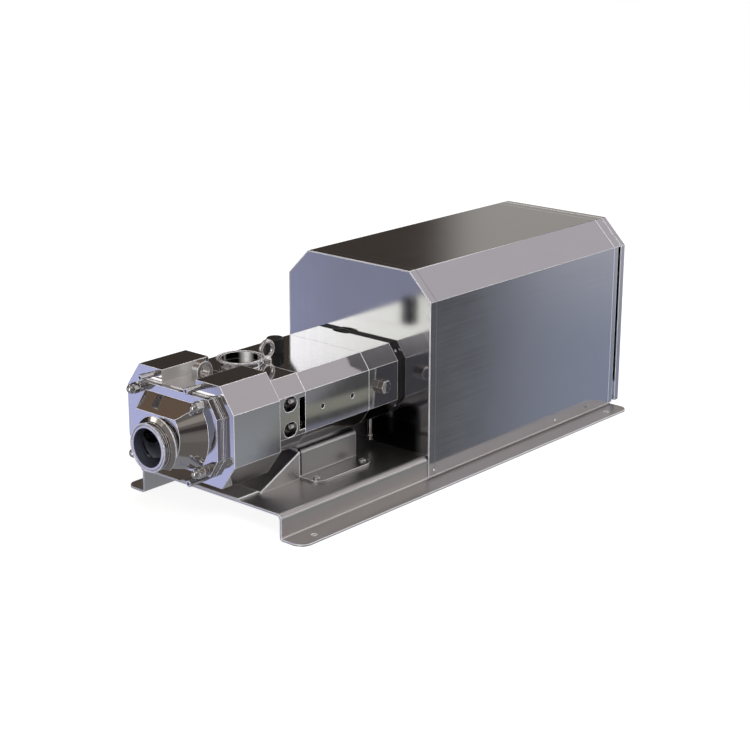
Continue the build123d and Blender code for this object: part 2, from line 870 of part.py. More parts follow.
def casing_body():
    """The back of the casing: discharge chamber, seal wall, drip windows, screw pockets."""
    barrel = extrude(across(body_x) * octagon(body_outline), amount=casing_body_length)
    neck = post(discharge_x, 0, body_top - 5, tube_radius, discharge_neck + 5)
    bores = extrude(across(body_x - 1) * chamber_face(chamber_radius), amount=seal_wall_x - body_x + 1)
    port_floor = pump_axis_height + chamber_radius + discharge_land
    port = post(discharge_x, 0, port_floor, port_radius, body_top + discharge_neck + 1 - port_floor)
    before_wall = Pos(seal_wall_x, 0, pump_axis_height) * Box(
        4 * port_radius, 4 * port_radius, 4 * port_radius, align=(Align.MAX, Align.CENTER, Align.CENTER)
    )
    throat_height = chamber_radius + discharge_land + 1
    throat = post(discharge_x, 0, pump_axis_height, discharge_throat_radius, throat_height) & before_wall
    seal_bores = [rod(seal_wall_x - 1, seal_bore_radius, seal_wall + 2, y) for y in (drive_y, driven_y)]
    window = Pos(seal_window_x, 0, pump_axis_height) * Box(
        seal_window_length + 1, 3 * body_outline[0], seal_window_height,
        align=(Align.MIN, Align.CENTER, Align.CENTER),
    )
    cuts = [bores, port, throat, window] + seal_bores
    for y, z in body_screw_places():
        side = math.copysign(1, y)
        mouth = Plane(
            origin=(pocket_x, side * (body_outline[0] + 1), z), x_dir=(1, 0, 0), z_dir=(0, -side, 0)
        )
        cuts += [
            extrude(mouth * SlotOverall(pocket_length, 2 * pocket_radius), amount=pocket_depth + 1),
            rod(pocket_x, body_screw_head_radius + hole_clearance, pocket_length / 2, y, z),
            rod(pocket_x, body_screw_radius + hole_clearance, casing_body_length, y, z),
        ]
    return barrel + neck - cuts


def casing_body_screws():
    """Socket head screws in the side pockets, through their end walls into the gear case."""
    head_x_here = pocket_end_x - body_screw_head_length
    screws = []
    for y, z in body_screw_places():
        head = rod(head_x_here, body_screw_head_radius, body_screw_head_length, y, z)
        hexagon = RegularPolygon(body_screw_head_radius * 0.55, 6)
        socket = extrude(across(head_x_here, y, z) * hexagon, amount=body_screw_head_length / 2)
        shank = rod(pocket_end_x, body_screw_radius, body_screw_length, y, z)
        screws.append(head + shank - socket)
    return together(screws)


def lifting_lug():
    """Arched lug with a round hole, standing in the casing's upper trough."""
    spring = lug_height - lug_radius
    arch = (
        Pos(0, spring) * Circle(lug_radius)
        + Pos(0, spring / 2) * Rectangle(2 * lug_radius, spring)
        - Pos(0, spring) * Circle(lug_hole_radius)
    )
    standing = Plane(origin=(head_x + lug_front_gap, 0, body_top), x_dir=(1, 0, 0), z_dir=(0, -1, 0))
    return extrude(standing * arch, amount=lug_thickness / 2, both=True)


def seal_seats():
    """Fixed seal rings in the wall behind the discharge chamber."""
    return together([
        tube(seal_wall_x, seal_bore_radius, seal_seat_radius + seal_seat_gap, seal_seat_length, y)
        for y in (drive_y, driven_y)
    ])


def seal_ring(y):
    """The seal ring that turns with its shaft."""
    start = seal_wall_x + seal_seat_length
    return turned(
        [
            (start, seal_seat_radius + shaft_fit),
            (start, seal_ring_radius - 2),
            (start + 2, seal_ring_radius - 2),
            (start + 2, seal_ring_radius),
            (start + seal_ring_length, seal_ring_radius),
            (start + seal_ring_length, seal_seat_radius + shaft_fit),
        ],
        y,
    )


def thread(hand):
    """A square ridge wound round the X axis, longer than the screw, with its middle at x = 0."""
    mean_radius = (screw_radius + screw_root - 1) / 2
    turns_length = screw_length + 2 * screw_lead
    path = Helix(screw_lead, turns_length, mean_radius)
    ridge = Plane.XZ * Pos(mean_radius, 0) * Rectangle(screw_radius - screw_root + 1, thread_crest)
    wound = sweep(ridge, path=path, is_frenet=True)
    wound = Rot(0, 90, 0) * Pos(0, 0, -turns_length / 2) * wound
    if hand == "left":
        wound = mirror(Rot(180, 0, 0) * wound, about=Plane.XZ)
    return wound


def feed_screw(y, hand):
    """One of the two meshing screws: a core and a single square thread, cut square at both ends."""
    middle = Pos(screw_x + screw_length / 2, y, pump_axis_height)
    blank = rod(screw_x, screw_radius + 2, screw_length, y)
    ridge = middle * thread(hand) & blank
    core = rod(screw_x, screw_root, screw_length, y)
    bore = rod(screw_x - 1, screw_seat_radius + shaft_fit, screw_length + 2, y)
    return core + ridge - bore


def pump_shaft(y, end_x):
    """A stepped shaft from the screw's nut back to the gear, or on to the coupling."""
    steps = [
        (screw_x - rotor_nut_length + 4, rotor_stub_radius),
        (screw_x, screw_seat_radius),
        (screw_end_x, seal_seat_radius),
        (front_bearing_x, bearing_seat_radius),
        (gear_nut_x, gear_lock_radius),
        (gear_nut_x + gear_nut_length, drive_end_radius),
    ]
    steps = [step for step in steps if step[0] < end_x]
    profile = [(steps[0][0], 0)]
    for (start, radius), (stop, _) in zip(steps, steps[1:] + [(end_x, 0)]):
        profile += [(start, radius), (stop, radius)]
    profile.append((end_x, 0))
    return turned(profile, y) + gear_key(y)


def rotor_nut(y):
    """Round nose nut that holds the screw on its shaft."""
    start = screw_x - rotor_nut_length
    nose = turned(
        [
            (start, 0),
            (start, rotor_nut_radius * 0.62),
            (start + 5, rotor_nut_radius),
            (screw_x, rotor_nut_radius),
            (screw_x, 0),
        ],
        y,
    )
    return nose - rod(start + 4 - shaft_fit, rotor_stub_radius + shaft_fit, rotor_nut_length, y)


def bearing_starts():
    """Where each bearing of a shaft starts along X: a pair in front, one behind."""
    return (front_bearing_x, front_bearing_x + bearing_width, rear_bearing_x)


def outer_races():
    """Outer rings of the six bearings, each with its side shields."""
    inner = bearing_seat_radius + bearing_race + bearing_shield_gap
    race = bearing_outer_radius - bearing_race
    return together([
        turned(
            [
                (start, inner),
                (start, bearing_outer_radius),
                (start + bearing_width, bearing_outer_radius),
                (start + bearing_width, inner),
                (start + bearing_width - bearing_shield, inner),
                (start + bearing_width - bearing_shield, race),
                (start + bearing_shield, race),
                (start + bearing_shield, inner),
            ],
            y,
        )
        for y in (drive_y, driven_y)
        for start in bearing_starts()
    ])


def inner_races(y):
    """Inner rings of a shaft's three bearings."""
    outer = bearing_seat_radius + bearing_race
    return together([
        tube(start, outer, bearing_seat_radius + shaft_fit, bearing_width, y) for start in bearing_starts()
    ])


def oil_seals():
    """Lip seals before the front bearings and one behind the gears, round the drive shaft."""
    front = [
        tube(gear_front_x, oil_seal_radius, seal_seat_radius + shaft_fit, oil_seal_length, y)
        for y in (drive_y, driven_y)
    ]
    rear = tube(
        adapter_x - oil_seal_length, oil_seal_radius, drive_end_radius + shaft_fit, oil_seal_length, drive_y
    )
    return together(front + [rear])


def gear_face(y):
    """Involute gear outline, centred on its shaft; the driven gear is turned by half a tooth."""
    pitch_radius = shaft_spacing / 2
    pressure_angle = math.radians(20)
    base_radius = pitch_radius * math.cos(pressure_angle)

    def involute(angle):
        return math.tan(angle) - angle

    half_tooth = (math.pi * gear_module / 2 - gear_backlash) / (2 * pitch_radius)

    def flank_angle(radius):
        local = math.acos(min(1.0, base_radius / radius))
        return half_tooth + involute(pressure_angle) - involute(local)

    radii = [base_radius + share * (gear_tip_radius - base_radius) for share in (0, 0.35, 0.7, 1)]
    step = 2 * math.pi / gear_teeth
    first = 0.0 if y > 0 else step / 2
    points = []
    for tooth in range(gear_teeth):
        centre = first + tooth * step
        foot = flank_angle(base_radius)
        rising = [(gear_root_radius, -foot)] + [(radius, -flank_angle(radius)) for radius in radii]
        falling = [(radius, -angle) for radius, angle in reversed(rising)]
        for radius, angle in rising + falling:
            points.append((radius * math.cos(centre + angle), radius * math.sin(centre + angle)))
    return make_face(Polyline(*points, close=True))


def gear_key(y):
    """The key that a shaft carries for its gear."""
    return Pos(gear_x + gear_width / 2, y, pump_axis_height + bearing_seat_radius - key_height / 2) * Box(
        gear_width - 6, key_width, key_height, align=(Align.CENTER, Align.CENTER, Align.MIN)
    )


def timing_gear(y):
    """Spur gear that keeps the two screws in step and apart."""
    blank = extrude(across(gear_x, y) * gear_face(y), amount=gear_width)
    bore = rod(gear_x - 1, bearing_seat_radius + shaft_fit, gear_width + 2, y)
    relief = tube(gear_x - 1, gear_root_radius - 4, bearing_seat_radius + 5, 4, y)
    return blank - bore - relief - gear_key(y)


def gear_lock_nut(y):
    """Slotted round nut behind a gear."""
    ring = tube(gear_nut_x, gear_nut_radius, gear_lock_radius + shaft_fit, gear_nut_length, y)
    slots = [
        Pos(gear_nut_x, y, pump_axis_height) * Rot(90 * turn + 45, 0, 0) * Pos(0, gear_nut_radius, 0)
        * Box(gear_nut_length, 5, 5, align=(Align.MIN, Align.CENTER, Align.CENTER))
        for turn in range(4)
    ]
    return ring - slots


def gear_case_front():
    """The gear case's front part: bearing bores, side holes, foot on the bracket."""
    case = extrude(across(gear_front_x) * octagon(body_outline), amount=gear_front_length)
    foot = Pos(bracket_x + bracket_length / 2, 0, bracket_top) * Box(
        pad_length, 2 * pad_half_width, pad_height + 1, align=(Align.CENTER, Align.CENTER, Align.MIN)
    )
    cuts = []
    for y in (drive_y, driven_y):
        cuts.append(rod(gear_front_x - 1, oil_seal_radius, oil_seal_length + 2, y))
        cuts.append(rod(front_bearing_x, bearing_outer_radius, gear_front_length, y))
    for y, z in body_screw_places():
        cuts.append(rod(gear_front_x - 1, body_screw_radius + hole_clearance, body_screw_length, y, z))
    for place in side_hole_places:
        for side in (-1, 1):
            mouth = Plane(
                origin=(gear_front_x + place, side * body_outline[0], pump_axis_height), z_dir=(0, -side, 0)
            )
            cuts.append(extrude(mouth * Circle(side_hole_radius), amount=side_hole_depth))
    for x, y in pad_bolt_places():
        cuts.append(post(x, y, bracket_top - 1, tie_shank_radius + hole_clearance, pad_bolt_depth + 2))
    cap_hole = cap_stem_length + 1
    cuts.append(post(cap_x, drive_y, body_top - cap_hole, cap_stem_radius + hole_clearance, cap_hole + 1))
    eye_hole = eye_stem_length + 2
    cuts.append(post(eye_x, 0, body_top - eye_hole, eye_stem_radius + hole_clearance, eye_hole + 1))
    return case + foot - cuts


def bearing_retainer():
    """Plate behind the rear bearings."""
    plate = extrude(across(gear_rear_x) * chamber_face(gear_tip_radius + 2), amount=retainer_thickness)
    holes = [
        rod(gear_rear_x - 1, bearing_seat_radius + bearing_race + 1, retainer_thickness + 2, y)
        for y in (drive_y, driven_y)
    ]
    return plate - holes


def gear_case_rear():
    """The gear case's rear part: gear cavity, plug bosses, notch in its upper back edge."""
    case = extrude(across(gear_rear_x) * octagon(body_outline), amount=gear_rear_length)
    cavity = extrude(
        across(gear_rear_x - 1) * chamber_face(gear_tip_radius + gear_cavity_gap),
        amount=gear_rear_length - gear_rear_wall + 1,
    )
    bore = rod(adapter_x - gear_rear_wall - 1, drive_end_radius + 3, gear_rear_wall + 2, drive_y)
    seal_bore = rod(adapter_x - oil_seal_length, oil_seal_radius, oil_seal_length + 1, drive_y)
    notch_floor = level(body_top - notch_drop, adapter_x, drive_y)
    notch = extrude(notch_floor * Ellipse(notch_depth, notch_radius), amount=notch_drop + 1)
    plug_bores = [
        extrude(
            Plane(origin=(plug_x, side * (body_outline[0] + 1), pump_axis_height), z_dir=(0, -side, 0))
            * Circle(plug_thread_radius + hole_clearance),
            amount=plug_thread_length + 2,
        )
        for side in (-1, 1)
    ]
    drain_bore = post(drain_x, -drain_across, body_bottom - 1, drain_radius + hole_clearance, drain_depth + 1)
    return case - cavity - bore - seal_bore - notch - plug_bores - drain_bore


def oil_plugs():
    """Hexagon head oil plugs, one on each side of the gear case, a flat upwards."""
    plugs = []
    for side in (-1, 1):
        seat = Plane(
            origin=(plug_x, side * body_outline[0], pump_axis_height), x_dir=(1, 0, 0), z_dir=(0, side, 0)
        )
        hexagon = RegularPolygon(plug_across_flats / 2, 6, major_radius=False)
        head = extrude(seat * hexagon, amount=plug_head)
        outer_edges = head.faces().sort_by(Axis.Y)[0 if side < 0 else -1].edges()
        head = chamfer(outer_edges, 1.0)
        stem = extrude(seat * Circle(plug_thread_radius), amount=-plug_thread_length)
        plugs.append(head + stem)
    return together(plugs)


def oil_drain():
    """Drain pipe under the gear case, closed by a cap above the base."""
    end_z = body_bottom + drain_depth - drain_length
    pipe = post(drain_x, -drain_across, end_z, drain_radius, drain_length)
    cap = post(drain_x, -drain_across, end_z - 8, drain_radius + 1.5, 10)
    return pipe + chamfer(cap.edges().group_by(Axis.Z)[0], 1)


def breather_cap():
    """Black ribbed filler cap of the gear case."""
    crown = post(cap_x, drive_y, body_top, cap_radius - 1, cap_height)
    crown = fillet(crown.edges().group_by(Axis.Z)[-1], 2.5)
    rib_radius = math.pi * cap_radius / cap_ribs * 0.5
    ribs = [
        Pos(cap_x, drive_y, body_top + 2) * Rot(0, 0, 360 / cap_ribs * index)
        * Pos(cap_radius - rib_radius, 0, 0)
        * Cylinder(rib_radius, cap_height - 6, align=(Align.CENTER, Align.CENTER, Align.MIN))
        for index in range(cap_ribs)
    ]
    stem = post(cap_x, drive_y, body_top - cap_stem_length, cap_stem_radius, cap_stem_length + 1)
    return crown + ribs + stem


def eye_bolt():
    """Forged lifting eye on a round collar."""
    ring_z = body_top + eye_collar_height + eye_ring_radius + eye_wire_radius - 3
    ring = Pos(eye_x, 0, ring_z) * Rot(90, 0, 0) * Torus(eye_ring_radius, eye_wire_radius)
    collar = post(eye_x, 0, body_top, eye_collar_radius, eye_collar_height)
    collar = chamfer(collar.edges().group_by(Axis.Z)[-1], 2.0)
    stem = post(eye_x, 0, body_top - eye_stem_length, eye_stem_radius, eye_stem_length + 1)
    return ring + collar + stem


def adapter_plate():
    """Black plate between the gear case and the shroud, which carries the bell housing."""
    plate = extrude(across(adapter_x) * octagon(body_outline), amount=adapter_length)
    bore = rod(adapter_x - 1, adapter_bore, adapter_length + 2, drive_y)
    return plate - bore


def adapter_screws():
    """Small set screws in the adapter plate's corner faces."""
    half_width, half_top, half_height, corner = body_outline
    slope = math.atan2(half_width - half_top, corner)
    screws = []
    for side in (-1, 1):
        for lift in (-1, 1):
            middle = (
                adapter_x + adapter_length / 2,
                side * (half_width + half_top) / 2,
                pump_axis_height + lift * (half_height - corner / 2),
            )
            out = (0, side * math.cos(slope), lift * math.sin(slope))
            seat = Plane(origin=middle, z_dir=out)
            head = extrude(seat * Circle(adapter_screw_radius), amount=1.2)
            socket = extrude(seat.offset(0.4) * RegularPolygon(adapter_screw_radius * 0.5, 6), amount=1)
            screws.append(head - socket)
    return together(screws)


def bell_housing():
    """Round housing over the coupling, from the adapter plate to the motor's face."""
    flange_x_here = motor_face_x - bell_flange_thickness
    shell = turned(
        [
            (shroud_x, bell_radius - bell_wall),
            (shroud_x, bell_radius),
            (flange_x_here - 24, bell_radius),
            (flange_x_here, motor_face_radius - 16),
            (flange_x_here, motor_face_radius),
            (motor_face_x, motor_face_radius),
            (motor_face_x, bell_radius - bell_wall),
        ],
        drive_y,
    )
    window = Pos(shroud_x + bell_length * 0.42, drive_y, pump_axis_height + bell_radius) * Box(46, 50, 60)
    return shell - window


def sector(inner, outer, middle_angle, span):
    """Part of a ring in the plane across the shaft, for a coupling's jaws."""
    far = [
        (2 * outer * math.cos(math.radians(angle)), 2 * outer * math.sin(math.radians(angle)))
        for angle in (middle_angle - span / 2, middle_angle + span / 2)
    ]
    wedge = make_face(Polyline((0, 0), *far, close=True))
    return (Circle(outer) - Circle(inner)) & wedge


def coupling_half(disc_x, bore_radius, jaw_x, first_angle):
    """Hub with its jaws; the other half's jaws stand between them."""
    hub = tube(disc_x, coupling_radius, bore_radius + shaft_fit, coupling_hub_length, drive_y)
    pitch = 360 / coupling_jaws
    jaws = [
        extrude(
            across(jaw_x, drive_y)
            * sector(coupling_radius * 0.5, coupling_radius, first_angle + pitch * index, jaw_angle),
            amount=coupling_gap - coupling_play + 0.5,
        )
        for index in range(coupling_jaws)
    ]
    return hub + jaws


def pump_coupling():
    start = drive_end_x - coupling_hub_length
    return coupling_half(start, drive_end_radius, drive_end_x - 0.5, 90)


def motor_coupling():
    pitch = 360 / coupling_jaws
    start = drive_end_x + coupling_gap
    return coupling_half(start, motor_shaft_radius, drive_end_x + coupling_play, 90 + pitch / 2)


def coupling_spider():
    """Rubber star between the jaws."""
    gap_angle = 180 / coupling_jaws - jaw_angle
    ring = tube(
        drive_end_x, coupling_radius * 0.5 - coupling_play, coupling_radius * 0.28,
        coupling_gap - coupling_play, drive_y,
    )
    arms = [
        extrude(
            across(drive_end_x, drive_y) * sector(
                coupling_radius * 0.4, coupling_radius - 1.5,
                90 + 180 / coupling_jaws * (index + 0.5), gap_angle - 1.6,
            ),
            amount=coupling_gap - coupling_play,
        )
        for index in range(2 * coupling_jaws)
    ]
    return ring + arms


def motor_shaft():
    """Motor shaft with its rotor core."""
    core_x = motor_frame_x + (motor_frame_length - core_length) / 2
    front_seat = motor_face_x + motor_shield_wall
    rear_seat = cowl_x - motor_shield_wall - motor_bearing_width
    core_radius = motor_bore_radius - stator_wall - air_gap
    end = cowl_x + fan_cowl_length * 0.5
    return turned(
        [
            (motor_shaft_x, 0),
            (motor_shaft_x, motor_shaft_radius),
            (front_seat, motor_shaft_radius),
            (front_seat, motor_bearing_bore),
            (core_x, motor_bearing_bore),
            (core_x, core_radius),
            (core_x + core_length, core_radius),
            (core_x + core_length, motor_bearing_bore),
            (rear_seat + motor_bearing_width, motor_bearing_bore),
            (rear_seat + motor_bearing_width, fan_seat_radius),
            (end, fan_seat_radius),
            (end, 0),
        ],
        drive_y,
    )


def motor_bearings():
    """The motor's two bearings, in its end shields."""
    front = motor_face_x + motor_shield_wall
    rear = cowl_x - motor_shield_wall - motor_bearing_width
    inner = motor_bearing_bore + shaft_fit
    return together([
        tube(start, motor_bearing_radius, inner, motor_bearing_width, drive_y) for start in (front, rear)
    ])


def motor_stator():
    """Stator core with its winding heads."""
    core_x = motor_frame_x + (motor_frame_length - core_length) / 2
    core = tube(core_x, motor_bore_radius, motor_bore_radius - stator_wall, core_length, drive_y)
    heads = [
        tube(
            x, motor_bore_radius - winding_head_step, motor_bore_radius - stator_wall + 3,
            winding_head_length, drive_y,
        )
        for x in (core_x - winding_head_length, core_x + core_length)
    ]
    return core + heads


def motor_frame():
    """Finned motor frame with four feet and the terminal box's seat."""
    barrel = tube(motor_frame_x, motor_frame_radius, motor_bore_radius, motor_frame_length, drive_y)
    fin_root = motor_frame_radius - 2
    fins = [
        Pos(motor_frame_x, drive_y, pump_axis_height) * Rot(360 / motor_fins * (index + 0.5), 0, 0)
        * Pos(0, fin_root, 0)
        * Box(motor_frame_length, motor_fin_height + 2, 3, align=(Align.MIN, Align.MIN, Align.CENTER))
        for index in range(motor_fins)
        if not skips_fin(360 / motor_fins * (index + 0.5))
    ]
    seat_bottom = motor_bore_radius + 6
    seat = Pos(motor_frame_x + motor_frame_length / 2, drive_y, pump_axis_height + seat_bottom) * Box(
        terminal_box_size[0] - 12, terminal_box_size[1] - 12, terminal_seat_height - seat_bottom,
        align=(Align.CENTER, Align.CENTER, Align.MIN),
    )
    feet = []
    for x, y, radius in motor_bolt_places():
        side = math.copysign(1, y - drive_y)
        pad = Pos(x, y + side * 4, motor_foot_bottom) * Box(
            foot_pad_length, foot_pad_width, foot_pad_height, align=(Align.CENTER, Align.CENTER, Align.MIN)
        )
        leg = Pos(x, drive_y + side * foot_leg_across, motor_foot_bottom) * Box(
            *foot_leg, align=(Align.CENTER, Align.CENTER, Align.MIN)
        )
        feet += [pad, leg]
    body = barrel + fins + seat + feet
    core = rod(motor_frame_x - 1, motor_bore_radius, motor_frame_length + 2, drive_y)
    holes = [
        post(x, y, motor_foot_bottom - 1, radius + hole_clearance, foot_pad_height + 2)
        for x, y, radius in motor_bolt_places()
    ]
    return body - core - holes


def skips_fin(angle):
    """Fins leave room for the terminal box above and for the feet below."""
    upwards = (angle - 90) % 360
    from_top = min(upwards, 360 - upwards)
    return from_top < 32 or from_top > 120


def motor_shields():
    """The motor's front face and rear shield, each with its bearing seat."""
    front = turned(
        [
            (motor_face_x, motor_shaft_radius + 2),
            (motor_face_x, motor_face_radius),
            (motor_face_x + motor_shield_rim, motor_face_radius),
            (motor_frame_x, motor_frame_radius),
            (motor_frame_x, motor_bearing_radius),
            (motor_face_x + motor_shield_wall, motor_bearing_radius),
            (motor_face_x + motor_shield_wall, motor_shaft_radius + 2),
        ],
        drive_y,
    )
    rear = turned(
        [
            (motor_shield_x, motor_bearing_radius),
            (motor_shield_x, motor_frame_radius),
            (motor_shield_x + motor_shield_wall, motor_frame_radius),
            (motor_shield_x + motor_shield_wall, cowl_radius - cowl_sheet),
            (motor_shield_x + motor_shield_rim, cowl_radius - cowl_sheet),
            (cowl_x - 8, motor_face_radius),
            (cowl_x, motor_face_radius - 10),
            (cowl_x, motor_shaft_radius),
            (cowl_x - motor_shield_wall, motor_shaft_radius),
            (cowl_x - motor_shield_wall, motor_bearing_radius),
        ],
        drive_y,
    )
    return together([front, rear])


def motor_fan():
    """Radial fan behind the motor."""
    start = cowl_x + fan_gap
    hub = tube(start, fan_hub_radius, fan_seat_radius + shaft_fit, fan_hub_length, drive_y)
    disc = tube(start, fan_radius, fan_hub_radius - 2, fan_disc, drive_y)
    blades = [
        Pos(start, drive_y, pump_axis_height) * Rot(360 / fan_blades * index, 0, 0)
        * Pos(0, fan_hub_radius - 2, 0)
        * Box(
            fan_blade_length, fan_radius - fan_hub_radius, fan_disc,
            align=(Align.MIN, Align.MIN, Align.CENTER),
        )
        for index in range(fan_blades)
    ]
    return hub + disc + blades


def fan_cowl():
    """Sheet cowl over the fan, open towards the motor, with rings of air holes behind."""
    front = motor_shield_x + motor_shield_wall
    end = cowl_x + fan_cowl_length
    inset = cowl_sheet * math.tan(math.radians(22.5))
    cowl = turned(
        [
            (front, cowl_radius - cowl_sheet),
            (front, cowl_radius),
            (end - cowl_chamfer, cowl_radius),
            (end, cowl_radius - cowl_chamfer),
            (end, 0),
            (end - cowl_sheet, 0),
            (end - cowl_sheet, cowl_radius - cowl_chamfer - inset),
            (end - cowl_chamfer - inset, cowl_radius - cowl_sheet),
        ],
        drive_y,
    )
    holes = [
        rod(
            end - cowl_sheet - 1, cowl_hole_radius, cowl_sheet + 2,
            drive_y + ring * cowl_ring_spacing * math.cos(math.pi * index / (3 * ring)),
            pump_axis_height + ring * cowl_ring_spacing * math.sin(math.pi * index / (3 * ring)),
        )
        for ring in range(1, cowl_ring_count + 1)
        for index in range(6 * ring)
    ]
    holes.append(rod(end - cowl_sheet - 1, cowl_hole_radius, cowl_sheet + 2, drive_y))
    return cowl - holes


def terminal_box():
    """Terminal box on the motor, with a flat lid and a cable gland's blind boss."""
    length, width, height = terminal_box_size
    base_z = pump_axis_height + terminal_seat_height
    middle = motor_frame_x + motor_frame_length / 2
    box = Pos(middle, drive_y, base_z) * Box(
        length, width, height, align=(Align.CENTER, Align.CENTER, Align.MIN)
    )
    box = fillet(box.edges().filter_by(Axis.Z), 9)
    lid_line = Pos(middle, drive_y, base_z + height - 10) * Box(
        length + 2, width + 2, 1.5, align=(Align.CENTER, Align.CENTER, Align.MIN)
    )
    core = Pos(middle, drive_y, base_z + height - 11) * Box(
        length - 2, width - 2, 4, align=(Align.CENTER, Align.CENTER, Align.MIN)
    )
    return box - (lid_line - core)


def motor_rails():
    """Two flat bars between the base and the motor's feet."""
    bars = []
    for side in (-1, 1):
        y = drive_y + side * (foot_spacing_across / 2 + 4)
        bar = Pos(motor_face_x + foot_first + foot_spacing_along / 2, y, base_height) * Box(
            foot_spacing_along + foot_pad_length, foot_pad_width, motor_rail_height,
            align=(Align.CENTER, Align.CENTER, Align.MIN),
        )
        bars.append(bar)
    holes = [
        post(x, y, base_height - 1, radius + hole_clearance, motor_rail_height + 2)
        for x, y, radius in motor_bolt_places()
    ]
    return together([bar - holes for bar in bars])


parts = {
    "baseplate": baseplate,
    "pump_bracket": pump_bracket,
    "bracket_bolts": lambda: together([bracket_foot_bolts(), pad_bolts()]),
    "drip_ramp": drip_ramp,
    "shroud_shell": shroud_shell,
    "shroud_screws": shroud_screws,
    "shroud_front_panel": front_panel,
    "shroud_rear_cover": rear_cover,
    "suction_ferrule": suction_ferrule,
    "front_cover": front_cover,
    "cover_spacer": cover_spacer,
    "cover_seal": cover_seal,
    "cover_studs": cover_studs,
    "cover_bushes": cover_bushes,
    "cover_nuts": cover_nuts,
    "casing_ties": casing_ties,
    "casing_head": casing_head,
    "casing_body": casing_body,
    "casing_body_screws": casing_body_screws,
    "discharge_ferrule": discharge_ferrule,
    "lifting_lug": lifting_lug,
    "seal_seats": seal_seats,
    "gear_case_front": gear_case_front,
    "gear_case_rear": gear_case_rear,
    "bearing_outer_races": outer_races,
    "bearing_retainer": bearing_retainer,
    "oil_seals": oil_seals,
    "oil_plugs": oil_plugs,
    "oil_drain": oil_drain,
    "breather_cap": breather_cap,
    "eye_bolt": eye_bolt,
    "adapter_plate": adapter_plate,
    "adapter_screws": adapter_screws,
    "bell_housing": bell_housing,
    "motor_frame": motor_frame,
    "motor_shields": motor_shields,
    "motor_stator": motor_stator,
    "motor_bearings": motor_bearings,
    "motor_rails": motor_rails,
    "motor_foot_bolts": motor_foot_bolts,
    "motor_fan_cowl": fan_cowl,
    "motor_terminal_box": terminal_box,
    "motor_shaft": motor_shaft,
    "motor_fan": motor_fan,
    "motor_coupling_half": motor_coupling,
    "pump_coupling_half": pump_coupling,
    "coupling_spider": coupling_spider,
}

for side_name, y, hand, end_x in (
    ("drive", drive_y, "right", drive_end_x),
    ("driven", driven_y, "left", gear_nut_x + gear_nut_length),
):
    parts[side_name + "_screw"] = lambda y=y, hand=hand: feed_screw(y, hand)
    parts[side_name + "_shaft"] = lambda y=y, end_x=end_x: pump_shaft(y, end_x)
    parts[side_name + "_timing_gear"] = lambda y=y: timing_gear(y)
    parts[side_name + "_shaft_nuts"] = lambda y=y: together([rotor_nut(y), gear_lock_nut(y)])
    parts[side_name + "_seal_ring"] = lambda y=y: seal_ring(y)
    parts[side_name + "_inner_races"] = lambda y=y: inner_races(y)

os.makedirs("parts", exist_ok=True)
for name, make in parts.items():
    export_step(make(), os.path.join("parts", name + ".step"))
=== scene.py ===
import json

import bpy
import numpy as np
from mathutils import Matrix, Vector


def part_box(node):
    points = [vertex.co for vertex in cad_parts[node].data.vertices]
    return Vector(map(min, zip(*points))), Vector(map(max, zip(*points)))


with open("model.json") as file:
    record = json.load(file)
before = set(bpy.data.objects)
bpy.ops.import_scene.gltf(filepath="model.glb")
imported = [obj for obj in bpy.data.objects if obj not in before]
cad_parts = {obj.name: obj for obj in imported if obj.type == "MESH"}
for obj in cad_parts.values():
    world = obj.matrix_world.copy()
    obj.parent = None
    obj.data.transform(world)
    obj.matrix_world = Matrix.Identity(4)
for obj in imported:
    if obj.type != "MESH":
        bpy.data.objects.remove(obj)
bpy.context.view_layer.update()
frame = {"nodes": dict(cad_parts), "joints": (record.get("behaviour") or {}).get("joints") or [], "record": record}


# The camera stands at the photograph's angle, before the suction end on the pump's near side. Its
# place is in metres, and its right, down, forward and lens are those of the photograph.
camera_place = (-2.5338, -2.2055, 1.2082)
camera_right = np.array((0.65731, -0.75361, 0.00304))
camera_down = np.array((-0.22114, -0.19673, -0.95519))
camera_forward = np.array((0.72044, 0.62719, -0.29597))
camera_lens_mm = 83.05
camera_sensor_mm = 36.0
camera_sees_to = 60.0


def standing(place, right, up, back):
    """The matrix of a thing at place whose own x, y and z point along right, up and back."""
    matrix = np.eye(4)
    matrix[:3] = np.column_stack((right, up, back, place))
    return Matrix(matrix.tolist())


camera = bpy.data.objects.new("camera", bpy.data.cameras.new("camera"))
bpy.context.scene.collection.objects.link(camera)
camera.data.lens = camera_lens_mm
camera.data.sensor_width = camera_sensor_mm
camera.data.clip_end = camera_sees_to
camera.matrix_world = standing(camera_place, camera_right, -camera_down, -camera_forward)
bpy.context.scene.camera = camera
bpy.context.scene.view_settings.view_transform = "Standard"


# The room: soft panels hung round the pump, as for photographing a polished part. A warm dark
# ceiling is behind it, a pale wall on the near side and a cool floor in front, and the steel mirrors
# them. The camera sees plain white instead.
def add(tree, kind, at=None, **values):
    """One shader node. A value is a constant, or an output that is joined to the input. An input is
    named with _ for its spaces, or by its number after an i."""
    made = tree.nodes.new("ShaderNode" + kind)
    for name, value in (at or {}).items():
        setattr(made, name, value)
    for name, value in values.items():
        key = int(name[1:]) if name[0] == "i" and name[1:].isdigit() else name.replace("_", " ")
        if isinstance(value, bpy.types.NodeSocket):
            tree.links.new(value, made.inputs[key])
        else:
            made.inputs[key].default_value = value
    return made


def reckon(tree, operation, *values, clamp=False):
    """One step of arithmetic on one or two values, each a constant or an output."""
    given = {"i%d" % place: value for place, value in enumerate(values)}
    return add(tree, "Math", {"operation": operation, "use_clamp": clamp}, **given).outputs[0]


def opaque(colour, share=1.0):
    """A colour for a shader's input: red, green and blue times share, not see-through."""
    return tuple(share * part for part in colour) + (1.0,)


